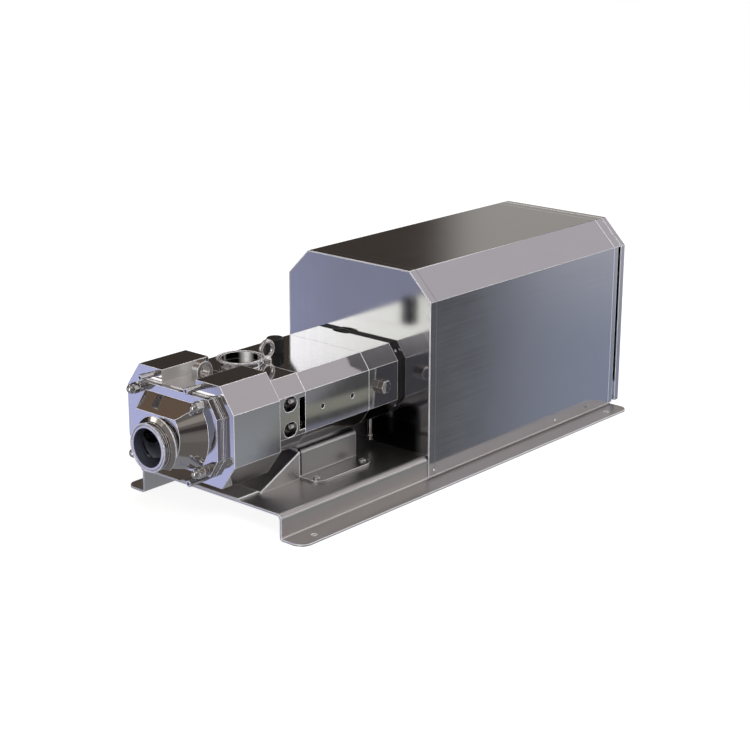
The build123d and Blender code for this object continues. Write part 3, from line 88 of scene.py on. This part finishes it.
def tinted(tree, held, first, second):
    """The colour first where held is 0, second where it is 1, and a mixture between."""
    return add(tree, "Mix", {"data_type": "RGBA"}, i0=held, i6=first, i7=second).outputs[2]


def blank(owner):
    """Empties a material's or world's node tree and gives it back."""
    owner.use_nodes = True
    owner.node_tree.nodes.clear()
    return owner.node_tree


def within(tree, angle, middle, half, fade):
    """1 where angle is nearer to middle than half, falling smoothly to 0 over the fade."""
    off = reckon(tree, "ABSOLUTE", reckon(tree, "SUBTRACT", angle, middle))
    return add(
        tree, "MapRange", {"interpolation_type": "SMOOTHSTEP"},
        Value=off, From_Min=half, From_Max=half + fade, To_Min=1.0, To_Max=0.0,
    ).outputs[0]


# Each panel has the azimuth, from the pump's length, and the elevation of its middle in degrees, its
# half width and half height, how far its edges fade, and its colour. Later ones hang before earlier.
panels = (
    ("far_floor", (0, -60), (181, 62), (1, 14), (0.33, 0.335, 0.355)),
    ("back_wall", (150, 25), (42, 30), (10, 12), (0.42, 0.41, 0.405)),
    ("left_wall", (-168, 38), (14, 20), (8, 10), (0.42, 0.41, 0.40)),
    ("zenith", (0, 90), (181, 32), (1, 14), (0.34, 0.33, 0.32)),
    ("brown_ceiling", (80, 46), (50, 15), (12, 10), (0.20, 0.14, 0.10)),
    ("dark_wall", (78, 14), (38, 17), (4, 10), (0.062, 0.051, 0.044)),
    ("taupe_wall", (8, 14), (29.4, 12), (2, 6), (0.42, 0.40, 0.37)),
    ("near_panel", (-32, 35), (24, 13), (8, 5), (0.69, 0.655, 0.68)),
    ("blue_floor", (-22, -16), (10, 12), (8, 7), (0.36, 0.41, 0.54)),
    ("pale_blue", (-28.5, -8.5), (5.5, 4.5), (3.5, 3), (0.58, 0.60, 0.67)),
    ("near_floor", (-58, -28), (13, 7), (6, 7), (0.40, 0.435, 0.46)),
    ("floor_shade", (-40.2, -12), (2.8, 8.5), (1.0, 1.2), (0.10, 0.10, 0.10)),
    ("gear_shade", (-42.4, -20.5), (1.6, 2.3), (0.8, 0.8), (0.10, 0.10, 0.10)),
    ("olive_floor", (-42.4, -18.5), (1.6, 0.8), (0.6, 1.1), (0.35, 0.355, 0.30)),
    ("low_blue_floor", (-42.0, -24.9), (2.0, 2.6), (1.0, 1.2), (0.28, 0.29, 0.37)),
    ("tan_wall", (-118, 0), (22, 60), (8, 8), (0.19, 0.175, 0.16)),
    ("cream_band", (-118, 49), (20, 7), (8, 4), (1.15, 1.10, 1.04)),
    ("upper_band", (-118, 22), (20, 4), (8, 4), (0.42, 0.39, 0.35)),
    ("dark_band", (-118, 4), (20, 3), (8, 4), (0.07, 0.06, 0.06)),
    ("lower_band", (-118, -15), (20, 6), (8, 6), (0.24, 0.225, 0.21)),
    ("dim_floor", (-140, -17), (6, 8), (4, 4), (0.13, 0.13, 0.14)),
    ("plates_floor", (-130.5, -19), (3.5, 6), (1.5, 4), (0.36, 0.37, 0.48)),
    ("return_wall", (-147, 31), (7, 7), (4, 4), (0.25, 0.235, 0.235)),
    ("front_floor", (146, -18), (18, 12), (8, 6), (0.33, 0.345, 0.46)),
    ("lavender", (124, -20), (9, 8), (3, 5), (0.72, 0.77, 1.20)),
    ("front_window", (139, 15.4), (15, 2.2), (3, 0.8), (2.15, 2.2, 1.95)),
    ("window_core", (131, 15.4), (4.9, 2.2), (2.8, 0.8), (3.35, 3.35, 3.35)),
    ("left_window", (-162, 6), (5, 30), (3, 5), (3.0, 3.0, 3.0)),
    ("high_strip", (10, 43), (12, 4), (3, 2), (2.4, 2.4, 2.4)),
    ("side_strip", (-43, 9), (12, 4), (3, 2), (2.1, 2.08, 2.06)),
    ("back_strip", (97, 52), (9, 4), (2, 2), (2.6, 2.6, 2.6)),
)
room_colour = (0.16, 0.145, 0.135)
white = opaque((1.0, 1.0, 1.0))

world = bpy.data.worlds.new("studio")
bpy.context.scene.world = world
tree = blank(world)
way = add(tree, "SeparateXYZ", Vector=add(tree, "TexCoord").outputs["Generated"]).outputs
azimuth = reckon(tree, "DEGREES", reckon(tree, "ARCTAN2", way[1], way[0]))
elevation = reckon(tree, "DEGREES", reckon(tree, "ARCSINE", way[2]))
light = opaque(room_colour)
for name, middle, half, fade, colour in panels:
    wide = within(tree, azimuth, middle[0], half[0], fade[0])
    high = within(tree, elevation, middle[1], half[1], fade[1])
    light = tinted(tree, reckon(tree, "MULTIPLY", wide, high), light, opaque(colour))
    light.node.label = name
room = add(tree, "Background", Color=light, Strength=1.0)
backdrop = add(tree, "Background", Color=white, Strength=1.0)
seen = add(tree, "LightPath").outputs["Is Camera Ray"]
shown = add(tree, "MixShader", i0=seen, i1=room.outputs[0], i2=backdrop.outputs[0])
add(tree, "OutputWorld", Surface=shown.outputs[0])


# Two soft square lamps, a warm one before the suction end and a weaker cool one beyond the shroud,
# light the enamel, the rubber and the steel's edges with their painted highlight. The polish doesn't mirror them.
def lamp(name, place, aim, size, watts, colour):
    """A square lamp of that size at place, in metres, turned to face the point aim."""
    made = bpy.data.objects.new(name, bpy.data.lights.new(name, "AREA"))
    bpy.context.scene.collection.objects.link(made)
    made.data.size = size
    made.data.energy = watts
    made.data.color = colour
    made.visible_glossy = False
    away = np.array(place) - np.array(aim)
    away = away / np.linalg.norm(away)
    side = np.cross((0.0, 0.0, 1.0), away)
    side = side / np.linalg.norm(side)
    made.matrix_world = standing(place, side, np.cross(away, side), away)


lamp(
    "key_lamp", place=(-1.6, -2.2, 2.6), aim=(0.0, 0.0, 0.2),
    size=1.8, watts=105.0, colour=(1.0, 0.98, 0.96),
)
lamp(
    "side_lamp", place=(2.4, -1.8, 1.9), aim=(0.1, 0.0, 0.2),
    size=1.6, watts=52.0, colour=(0.96, 0.97, 1.0),
)


# The floor: a plain pale sheet, just under the base. The camera sees it nearly white, and the pump's
# soft shadow stays on it. The steel doesn't mirror it, because the room's panels stand for it.
floor_half = 9.0
floor_drop = 0.0004
floor_colour = (0.62, 0.63, 0.70)
floor_cloud = 0.96
floor_glow = 0.86
floor_shadow_colour = (0.36, 0.36, 0.36)

corners = np.array([(-1, -1, 0), (1, -1, 0), (1, 1, 0), (-1, 1, 0)]) * floor_half
floor_mesh = bpy.data.meshes.new("floor")
floor_mesh.from_pydata(corners.tolist(), [], [(0, 1, 2, 3)])
floor = bpy.data.objects.new("floor", floor_mesh)
floor.location.z = -floor_drop
bpy.context.scene.collection.objects.link(floor)
paper = bpy.data.materials.new("pale_floor")
tree = blank(paper)
here = add(tree, "TexCoord").outputs["Object"]
clouds = add(tree, "TexNoise", Vector=here, Scale=3.0, Detail=3.0).outputs["Fac"]
tone = tinted(tree, clouds, opaque(floor_colour), opaque(floor_colour, floor_cloud))
matte = add(tree, "BsdfDiffuse", Color=tone, Roughness=0.6)
glow = add(tree, "Emission", Color=white, Strength=floor_glow)
shadowed = add(tree, "BsdfDiffuse", Color=opaque(floor_shadow_colour))
pale = add(tree, "AddShader", i0=glow.outputs[0], i1=shadowed.outputs[0])
seen = add(tree, "LightPath").outputs["Is Camera Ray"]
shown = add(tree, "MixShader", i0=seen, i1=matte.outputs[0], i2=pale.outputs[0])
add(tree, "OutputMaterial", Surface=shown.outputs[0])
floor.data.materials.append(paper)
floor.visible_glossy = False


# The base: one bent sheet of satin stainless steel, ground in one direction along its length,
# bolted to the ground through four holes in its side flanges.
cloud_tint = 0.10
# The pale colour of the painted highlight on steel edges, and the rounding's cosines where it starts and where it
# is full.
edge_highlight_colour = (0.95, 0.94, 0.96)
highlight_from, highlight_to = 0.996, 0.972
grain_height = 0.0004


def steel(name, colour, rough, spread, lines, depth, edge=0.0012, edge_highlight=0.85):
    """Stainless steel. Its colour darkens by cloud_tint in broad clouds. Its roughness runs from rough
    by spread along fine grinding lines, lines being their counts per metre along x, y and z and depth
    their strength. Its edges look rounded by edge metres, and by edge_highlight they carry a painted
    highlight, pale and less metallic, from where the rounding's cosine is highlight_from to where it is
    highlight_to."""
    made = bpy.data.materials.new(name)
    tree = blank(made)
    here = add(tree, "TexCoord").outputs["Object"]
    clouds = add(tree, "TexNoise", Vector=here, Scale=7.0, Detail=4.0, Roughness=0.55).outputs["Fac"]
    drawn = add(tree, "Mapping", Vector=here, Scale=lines).outputs[0]
    grain = add(tree, "TexNoise", Vector=drawn, Scale=1.0, Detail=3.0, Roughness=0.6).outputs["Fac"]
    rounded = add(tree, "Bevel", {"samples": 6}, Radius=edge).outputs[0]
    flat = add(tree, "NewGeometry").outputs["Normal"]
    cosine = add(tree, "VectorMath", {"operation": "DOT_PRODUCT"}, i0=rounded, i1=flat).outputs["Value"]
    # Painted highlight: within the edge rounding the colour turns pale and the steel less metallic, so the edges
    # light up.
    rim = add(
        tree, "MapRange", Value=cosine, From_Min=highlight_from, From_Max=highlight_to, To_Min=0.0, To_Max=edge_highlight
    ).outputs[0]
    shade = tinted(tree, clouds, opaque(colour, 1.0 - cloud_tint), opaque(colour))
    shade = tinted(tree, rim, shade, opaque(edge_highlight_colour))
    metal = reckon(tree, "SUBTRACT", 1.0, rim)
    polish = add(
        tree, "MapRange", Value=reckon(tree, "ADD", grain, clouds), From_Min=0.6, From_Max=1.4,
        To_Min=rough, To_Max=rough + spread,
    ).outputs[0]
    bump = add(tree, "Bump", Height=grain, Normal=rounded, Strength=depth, Distance=grain_height)
    surface = add(
        tree, "BsdfPrincipled", Base_Color=shade, Metallic=metal, Roughness=polish, Normal=bump.outputs[0]
    )
    add(tree, "OutputMaterial", Surface=surface.outputs[0])
    return made


def dress(material, *names):
    """Gives CAD nodes a finish."""
    for name in names:
        node = frame["nodes"][name]
        node.data.materials.clear()
        node.data.materials.append(material)


satin_base = steel(
    "satin_base_sheet", (0.60, 0.58, 0.565), rough=0.30, spread=0.10, lines=(9.0, 700.0, 700.0),
    depth=0.10, edge=0.0022,
)
dress(satin_base, "baseplate")


# The bracket under the gear case and the drip ramp before it are bent from sheet, and the bracket is
# bolted down by its feet with plain stainless screws. Painted shade: a near-black strip runs up its near web's
# front edge, where the gap is shaded.
gap_shade_low = (-0.3115, -0.0865, 0.057)
gap_shade_high = (-0.3072, -0.078, 0.112)


def reach(tree, low, high, soft=0.0002):
    """1 where the piece's own coordinates lie between the corners low and high, fading over soft."""
    held = 1.0
    parts = add(tree, "SeparateXYZ", Vector=add(tree, "TexCoord").outputs["Object"]).outputs
    for part, start, end in zip(parts, low, high):
        half = (end - start) / 2.0
        off = reckon(tree, "ABSOLUTE", reckon(tree, "SUBTRACT", part, (start + end) / 2.0))
        near = add(
            tree, "MapRange", Value=off, From_Min=half, From_Max=half + soft, To_Min=1.0, To_Max=0.0
        ).outputs[0]
        held = reckon(tree, "MULTIPLY", near, held)
    return held


def refinish(material, held, colour, rough, metal):
    """Gives the material another colour, roughness and share of metal where held is 1."""
    tree = material.node_tree
    surface = next(node for node in tree.nodes if node.bl_idname == "ShaderNodeBsdfPrincipled")
    old = surface.inputs["Base Color"].links[0].from_socket
    tree.links.new(tinted(tree, held, old, opaque(colour)), surface.inputs["Base Color"])
    for name, value in (("Roughness", rough), ("Metallic", metal)):
        old = surface.inputs[name].links[0].from_socket
        mixed = add(tree, "Mix", {"data_type": "FLOAT"}, i0=held, i2=old, i3=value).outputs[0]
        tree.links.new(mixed, surface.inputs[name])


satin_bracket = steel(
    "satin_bracket_sheet", (0.50, 0.49, 0.485), rough=0.26, spread=0.12, lines=(700.0, 9.0, 500.0),
    depth=0.10,
)
# Painted shade: the shaded gap at the near web's front edge is painted near black.
gap = reach(satin_bracket.node_tree, gap_shade_low, gap_shade_high)
refinish(satin_bracket, gap, colour=(0.02, 0.02, 0.02), rough=0.5, metal=1.0)
satin_ramp = steel(
    "satin_ramp_sheet", (0.60, 0.585, 0.575), rough=0.26, spread=0.12, lines=(9.0, 700.0, 9.0),
    depth=0.10, edge=0.0040,
)
bright_screw = steel(
    "bright_screw_steel", (0.60, 0.59, 0.59), rough=0.05, spread=0.08, lines=(300.0, 300.0, 300.0),
    depth=0.04, edge=0.0005,
)
dress(satin_bracket, "pump_bracket")
dress(satin_ramp, "drip_ramp")
dress(bright_screw, "bracket_bolts")


# The motor under the shroud: a cast and finned frame, its shields and terminal box in grey-blue
# enamel, a sheet cowl, a moulded fan, a resin soaked winding and a ground shaft.
cloud_dirt = 0.2
skin_height = 0.0003
gloss_spread = 0.12


def enamel(name, colour, rough, pit=0.25, bumps=900.0, coat=0.0):
    """Paint, rubber or moulding. Its skin has bumps to the metre, of strength pit. Its colour darkens
    by cloud_dirt in clouds, and its roughness runs from rough by gloss_spread with them."""
    made = bpy.data.materials.new(name)
    tree = blank(made)
    here = add(tree, "TexCoord").outputs["Object"]
    clouds = add(tree, "TexNoise", Vector=here, Scale=14.0, Detail=5.0, Roughness=0.6).outputs["Fac"]
    skin = add(tree, "TexNoise", Vector=here, Scale=bumps, Detail=2.0).outputs["Fac"]
    shade = tinted(tree, clouds, opaque(colour, 1.0 - cloud_dirt), opaque(colour))
    gloss = add(tree, "MapRange", Value=clouds, To_Min=rough, To_Max=rough + gloss_spread).outputs[0]
    bump = add(tree, "Bump", Height=skin, Strength=pit, Distance=skin_height).outputs[0]
    surface = add(
        tree, "BsdfPrincipled", Base_Color=shade, Roughness=gloss, Normal=bump, Coat_Weight=coat
    )
    add(tree, "OutputMaterial", Surface=surface.outputs[0])
    return made


motor_enamel = enamel("motor_enamel", (0.075, 0.12, 0.17), rough=0.38, coat=0.2)
cowl_enamel = enamel("cowl_enamel", (0.085, 0.13, 0.18), rough=0.42)
fan_moulding = enamel("fan_moulding", (0.03, 0.03, 0.032), rough=0.5, pit=0.15)
winding_resin = enamel("winding_resin", (0.32, 0.11, 0.045), rough=0.45, pit=0.5, bumps=500.0)
ground_steel = steel(
    "ground_steel", (0.52, 0.51, 0.50), rough=0.24, spread=0.12, lines=(500.0, 60.0, 60.0), depth=0.10
)
dress(motor_enamel, "motor_frame", "motor_shields", "motor_terminal_box")
dress(cowl_enamel, "motor_fan_cowl")
dress(fan_moulding, "motor_fan")
dress(winding_resin, "motor_stator")
dress(ground_steel, "motor_shaft", "motor_bearings")
dress(satin_base, "motor_rails")
dress(bright_screw, "motor_foot_bolts")


# The bell housing joins the motor's face to the adapter, and in it runs a jaw coupling with a
# rubber spider between its halves.
bell_enamel = enamel("bell_enamel", (0.10, 0.105, 0.11), rough=0.45)
spider_rubber = enamel("spider_rubber", (0.22, 0.03, 0.025), rough=0.6, pit=0.2, bumps=1500.0)
dress(bell_enamel, "bell_housing")
dress(ground_steel, "motor_coupling_half", "pump_coupling_half")
dress(spider_rubber, "coupling_spider")


# The adapter plate behind the gear case is painted black, with small stainless screws in its
# corner faces.
black_paint = enamel("black_paint", (0.004, 0.004, 0.0045), rough=0.55, pit=0.05)
dress(black_paint, "adapter_plate")
dress(bright_screw, "adapter_screws")


# The gear case is cast in two mirror polished parts. The two shafts with their bearings, seals and
# timing gears are inside, and the plugs and the drain pipe outside.
pump_axis_height = frame["joints"][0]["pos_m"][2]
case_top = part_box("gear_case_front")[1][2]
case_crown = 0.003


def crown(material, middle, half, rise):
    """Makes flat faces look slightly crowned, as polishing leaves them: their height falls by rise
    from the level middle to half above and below it, with the square of the distance."""
    tree = material.node_tree
    here = add(tree, "SeparateXYZ", Vector=add(tree, "TexCoord").outputs["Object"]).outputs[2]
    off = add(
        tree, "MapRange", {"clamp": False}, Value=here, From_Min=middle, From_Max=middle + half
    ).outputs[0]
    fall = reckon(tree, "MULTIPLY", off, off)
    grain = next(node for node in tree.nodes if node.bl_idname == "ShaderNodeBump")
    curved = add(tree, "Bump", {"invert": True}, Height=fall, Strength=1.0, Distance=rise)
    tree.links.new(grain.inputs["Normal"].links[0].from_socket, curved.inputs["Normal"])
    tree.links.new(curved.outputs[0], grain.inputs["Normal"])


mirror_case = steel(
    "mirror_gear_case", (0.56, 0.55, 0.56), rough=0.045, spread=0.05, lines=(60.0, 90.0, 90.0),
    depth=0.012, edge=0.0016,
)
crown(mirror_case, pump_axis_height, case_top - pump_axis_height, case_crown)
gear_steel = steel(
    "gear_steel", (0.42, 0.41, 0.40), rough=0.28, spread=0.14, lines=(80.0, 700.0, 700.0), depth=0.12
)
bearing_steel = steel(
    "bearing_steel", (0.60, 0.60, 0.61), rough=0.12, spread=0.08, lines=(900.0, 40.0, 40.0), depth=0.05
)
seal_rubber = enamel("seal_rubber", (0.016, 0.016, 0.017), rough=0.55, pit=0.1, bumps=1200.0)
carbide = enamel("seal_carbide", (0.05, 0.052, 0.058), rough=0.22, pit=0.05, bumps=1500.0)
dress(mirror_case, "gear_case_front", "gear_case_rear")
dress(gear_steel, "drive_timing_gear", "driven_timing_gear")
dress(ground_steel, "drive_shaft", "driven_shaft", "drive_shaft_nuts", "driven_shaft_nuts")
dress(ground_steel, "bearing_retainer")
dress(bearing_steel, "bearing_outer_races", "drive_inner_races", "driven_inner_races")
dress(seal_rubber, "oil_seals")
dress(carbide, "drive_seal_ring", "driven_seal_ring", "seal_seats")
dress(bright_screw, "oil_plugs", "oil_drain")


# The pump's casing: the head round the suction side, with a satin trough above, and the body with the
# discharge port. It is mirror polished outside, and the two screws run in it. Socket head screws lie
# in pockets in the body's sides, which carry painted shade; the screw heads carry a painted
# highlight, and the shank of each screw painted shade. The port's inside has painted shade and a painted
# highlight.
casing_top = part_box("casing_head")[1][2]
casing_crown = 0.002
trough_low = (-0.537, -0.0445, 0.2665)
trough_high = (-0.440, 0.0445, 0.2915)
throat_bottom, throat_top = 0.215, 0.285
pocket_shade_low = (-0.42, -0.1152, 0.155)
pocket_shade_high = (-0.3292, -0.09, 0.232)
shank_shade_low = (-0.347, -0.14, 0.1)
shank_shade_high = (-0.25, 0.14, 0.3)
bores = {mount["name"]: mount for mount in frame["record"]["mounts"] if mount["kind"] == "bore"}
discharge_axis = bores["discharge_bore"]["pos_m"]
across_upright = (1.0, 1.0, 0.0)
port_margin = 0.00035
port_radius = bores["discharge_bore"]["dims"]["r_mm"] / 1000.0 + port_margin
port_half = 0.04
painted_gleam_middle = (-0.3500, 0.0150, 0.0)
painted_gleam_radius, painted_gleam_fade = 0.003, 0.013
socket_highlight_share = 0.65


def around(tree, centre, across, radius, soft=0.0004):
    """1 nearer than radius to the axis through centre, across being 1 along the directions that are
    square to the axis and 0 along it, fading over soft."""
    here = add(tree, "TexCoord").outputs["Object"]
    off = add(tree, "VectorMath", {"operation": "SUBTRACT"}, i0=here, i1=centre).outputs[0]
    off = add(tree, "VectorMath", {"operation": "MULTIPLY"}, i0=off, i1=across).outputs[0]
    far = add(tree, "VectorMath", {"operation": "LENGTH"}, i0=off).outputs["Value"]
    return add(
        tree, "MapRange", Value=far, From_Min=radius, From_Max=radius + soft, To_Min=1.0, To_Max=0.0
    ).outputs[0]


def bored(tree, low, high, centre, across, radius):
    """1 in the part of a bore or round neck that lies between the corners low and high."""
    return reckon(tree, "MULTIPLY", reach(tree, low, high), around(tree, centre, across, radius))


def port_wall(material, bottom, top):
    """The discharge port's inside from the level bottom to top, darkened as painted shade, with a painted
    highlight where the inside turns to the light."""
    tree = material.node_tree
    low = (discharge_axis[0] - port_half, -port_half, bottom)
    high = (discharge_axis[0] + port_half, port_half, top)
    wall = bored(tree, low, high, discharge_axis, across_upright, port_radius)
    refinish(material, wall, colour=(0.30, 0.285, 0.28), rough=0.10, metal=1.0)
    painted_gleam = around(tree, painted_gleam_middle, across_upright, painted_gleam_radius, painted_gleam_fade)
    painted_gleam = reckon(tree, "MULTIPLY", wall, painted_gleam)
    refinish(material, painted_gleam, colour=(0.85, 0.84, 0.84), rough=0.30, metal=0.1)


mirror_casing = steel(
    "mirror_casing", (0.57, 0.555, 0.56), rough=0.04, spread=0.05, lines=(60.0, 90.0, 90.0),
    depth=0.012, edge=0.0018,
)
crown(mirror_casing, pump_axis_height, casing_top - pump_axis_height, casing_crown)
trough = reach(mirror_casing.node_tree, trough_low, trough_high)
refinish(mirror_casing, trough, colour=(0.60, 0.585, 0.575), rough=0.34, metal=0.75)
port_wall(mirror_casing, throat_bottom, throat_top)
# Painted shade: the pockets and the window in the body's sides are darkened.
pockets = reach(mirror_casing.node_tree, pocket_shade_low, pocket_shade_high)
refinish(mirror_casing, pockets, colour=(0.24, 0.235, 0.235), rough=0.16, metal=1.0)
screw_steel = steel(
    "screw_steel", (0.60, 0.59, 0.58), rough=0.10, spread=0.08, lines=(40.0, 300.0, 300.0), depth=0.05
)
socket_screw = steel(
    "socket_screw_steel", (0.80, 0.79, 0.79), rough=0.20, spread=0.08, lines=(300.0, 300.0, 300.0),
    depth=0.04, edge=0.0015, edge_highlight=0.95,
)
# Painted highlight: the socket head screws are turned mostly pale and unmetallic, so they look brightly lit.
refinish(socket_screw, socket_highlight_share, colour=(0.85, 0.84, 0.84), rough=0.30, metal=0.0)
# Painted shade: where each screw's shank crosses the body's window it is painted near black.
painted_shank_shade = reach(socket_screw.node_tree, shank_shade_low, shank_shade_high)
refinish(socket_screw, painted_shank_shade, colour=(0.04, 0.04, 0.042), rough=0.30, metal=1.0)
dress(mirror_casing, "casing_head", "casing_body")
dress(screw_steel, "drive_screw", "driven_screw")
dress(bright_screw, "casing_ties")
dress(socket_screw, "casing_body_screws")


# The front cover with its cone, its stepped nozzle and the suction ferrule welded to it, clamped
# by four studs, bushes and dome nuts over a thin spacer plate. The bore and the space behind it
# carry painted shade, and the collar behind the ferrule is darkened as a painted reflection.
suction_axis = bores["suction_bore"]["pos_m"]
across_lengthwise = (0.0, 1.0, 1.0)
mouth_low = (-0.62, -0.04, 0.13)
mouth_high = (-0.56, 0.04, 0.22)
mouth_margin = 0.00015
mouth_radius = bores["suction_bore"]["dims"]["r_mm"] / 1000.0 + mouth_margin
chamber_low = (-0.585, -0.055, 0.143)
chamber_high = (-0.5405, 0.055, 0.215)
collar_low = (-0.6028, -0.06, 0.11)
collar_high = (-0.5925, 0.06, 0.24)
collar_radius = 0.0526
ferrule_bottom, ferrule_top = 0.27, 0.2892

mirror_cover = steel(
    "mirror_cover", (0.57, 0.555, 0.56), rough=0.05, spread=0.05, lines=(90.0, 90.0, 90.0),
    depth=0.012, edge=0.0014,
)
tree = mirror_cover.node_tree
# Painted shade: the bore is painted dark navy.
painted_mouth_shade = bored(tree, mouth_low, mouth_high, suction_axis, across_lengthwise, mouth_radius)
refinish(mirror_cover, painted_mouth_shade, colour=(0.075, 0.08, 0.11), rough=0.42, metal=0.55)
# Painted shade: the space inside the cover, seen through the bore, is painted dark.
painted_chamber_shade = reach(tree, chamber_low, chamber_high)
refinish(mirror_cover, painted_chamber_shade, colour=(0.25, 0.26, 0.33), rough=0.45, metal=0.2)
# Painted reflection: the collar behind the ferrule is tinted dark brown, standing in for its dark reflections.
collar = bored(tree, collar_low, collar_high, suction_axis, across_lengthwise, collar_radius)
collar = reckon(tree, "SUBTRACT", collar, painted_mouth_shade, clamp=True)
refinish(mirror_cover, collar, colour=(0.36, 0.33, 0.31), rough=0.07, metal=1.0)
port_wall(mirror_cover, ferrule_bottom, ferrule_top)
dress(mirror_cover, "front_cover", "cover_spacer", "suction_ferrule", "discharge_ferrule")
dress(seal_rubber, "cover_seal")
dress(bright_screw, "cover_studs", "cover_bushes", "cover_nuts")


# On top are the lifting lug in the trough, cut from plate and brushed, the forged and screwed in
# lifting eye, and the moulded black filler cap.
brushed_lug = steel(
    "brushed_lug", (0.66, 0.645, 0.635), rough=0.28, spread=0.10, lines=(200.0, 900.0, 60.0), depth=0.10
)
forged_eye = steel(
    "forged_eye", (0.80, 0.785, 0.78), rough=0.16, spread=0.06, lines=(220.0, 220.0, 220.0),
    depth=0.08, edge=0.0006,
)
cap_moulding = enamel("cap_moulding", (0.010, 0.010, 0.011), rough=0.34, pit=0.1, bumps=1400.0)
dress(brushed_lug, "lifting_lug")
dress(forged_eye, "eye_bolt")
dress(cap_moulding, "breather_cap")


# The shroud is bent from satin sheet, with a smoother front panel, a separate rear cover beyond a
# dark gap and small button head screws along its foot. Its sheet is folded back in a narrow hem at
# both ends, and where each hem ends a line is painted: painted shade at the front, painted highlight
# at the rear. The front panel carries painted shade where it stands over the space under the gear case.
hem_half, hem_fade = 0.0005, 0.0008
hem_reach_y, hem_reach_z = 0.2, 0.42
front_hem_x = -0.0357
rear_hem_x = 0.5757
under_shade_low = (-0.06, -0.150, 0.04)
under_shade_high = (-0.05, 0.12, 0.108)
under_shade_fade = 0.018

satin_shroud = steel(
    "satin_shroud_sheet", (0.56, 0.555, 0.575), rough=0.10, spread=0.05, lines=(5.0, 260.0, 260.0),
    depth=0.03, edge=0.0019, edge_highlight=0.95,
)


def hem(x):
    """1 on the line across the shroud where its hem ends, at the distance x along the pump."""
    low = (x - hem_half, -hem_reach_y, 0.0)
    high = (x + hem_half, hem_reach_y, hem_reach_z)
    return reach(satin_shroud.node_tree, low, high, hem_fade)


# Painted lines where the hems end: painted shade at the front, painted highlight at the rear.
refinish(satin_shroud, hem(front_hem_x), colour=(0.36, 0.36, 0.38), rough=0.30, metal=1.0)
refinish(satin_shroud, hem(rear_hem_x), colour=(0.85, 0.85, 0.87), rough=0.35, metal=0.6)
front_sheet = steel(
    "front_panel_sheet", (0.58, 0.575, 0.60), rough=0.10, spread=0.05, lines=(200.0, 200.0, 8.0),
    depth=0.02, edge=0.0010,
)
# Painted shade: the front panel is darkened where it stands over the space under the gear case.
under = reach(front_sheet.node_tree, under_shade_low, under_shade_high, under_shade_fade)
refinish(front_sheet, under, colour=(0.05, 0.048, 0.05), rough=0.22, metal=1.0)
dress(satin_shroud, "shroud_shell", "shroud_rear_cover")
dress(front_sheet, "shroud_front_panel")
dress(bright_screw, "shroud_screws")
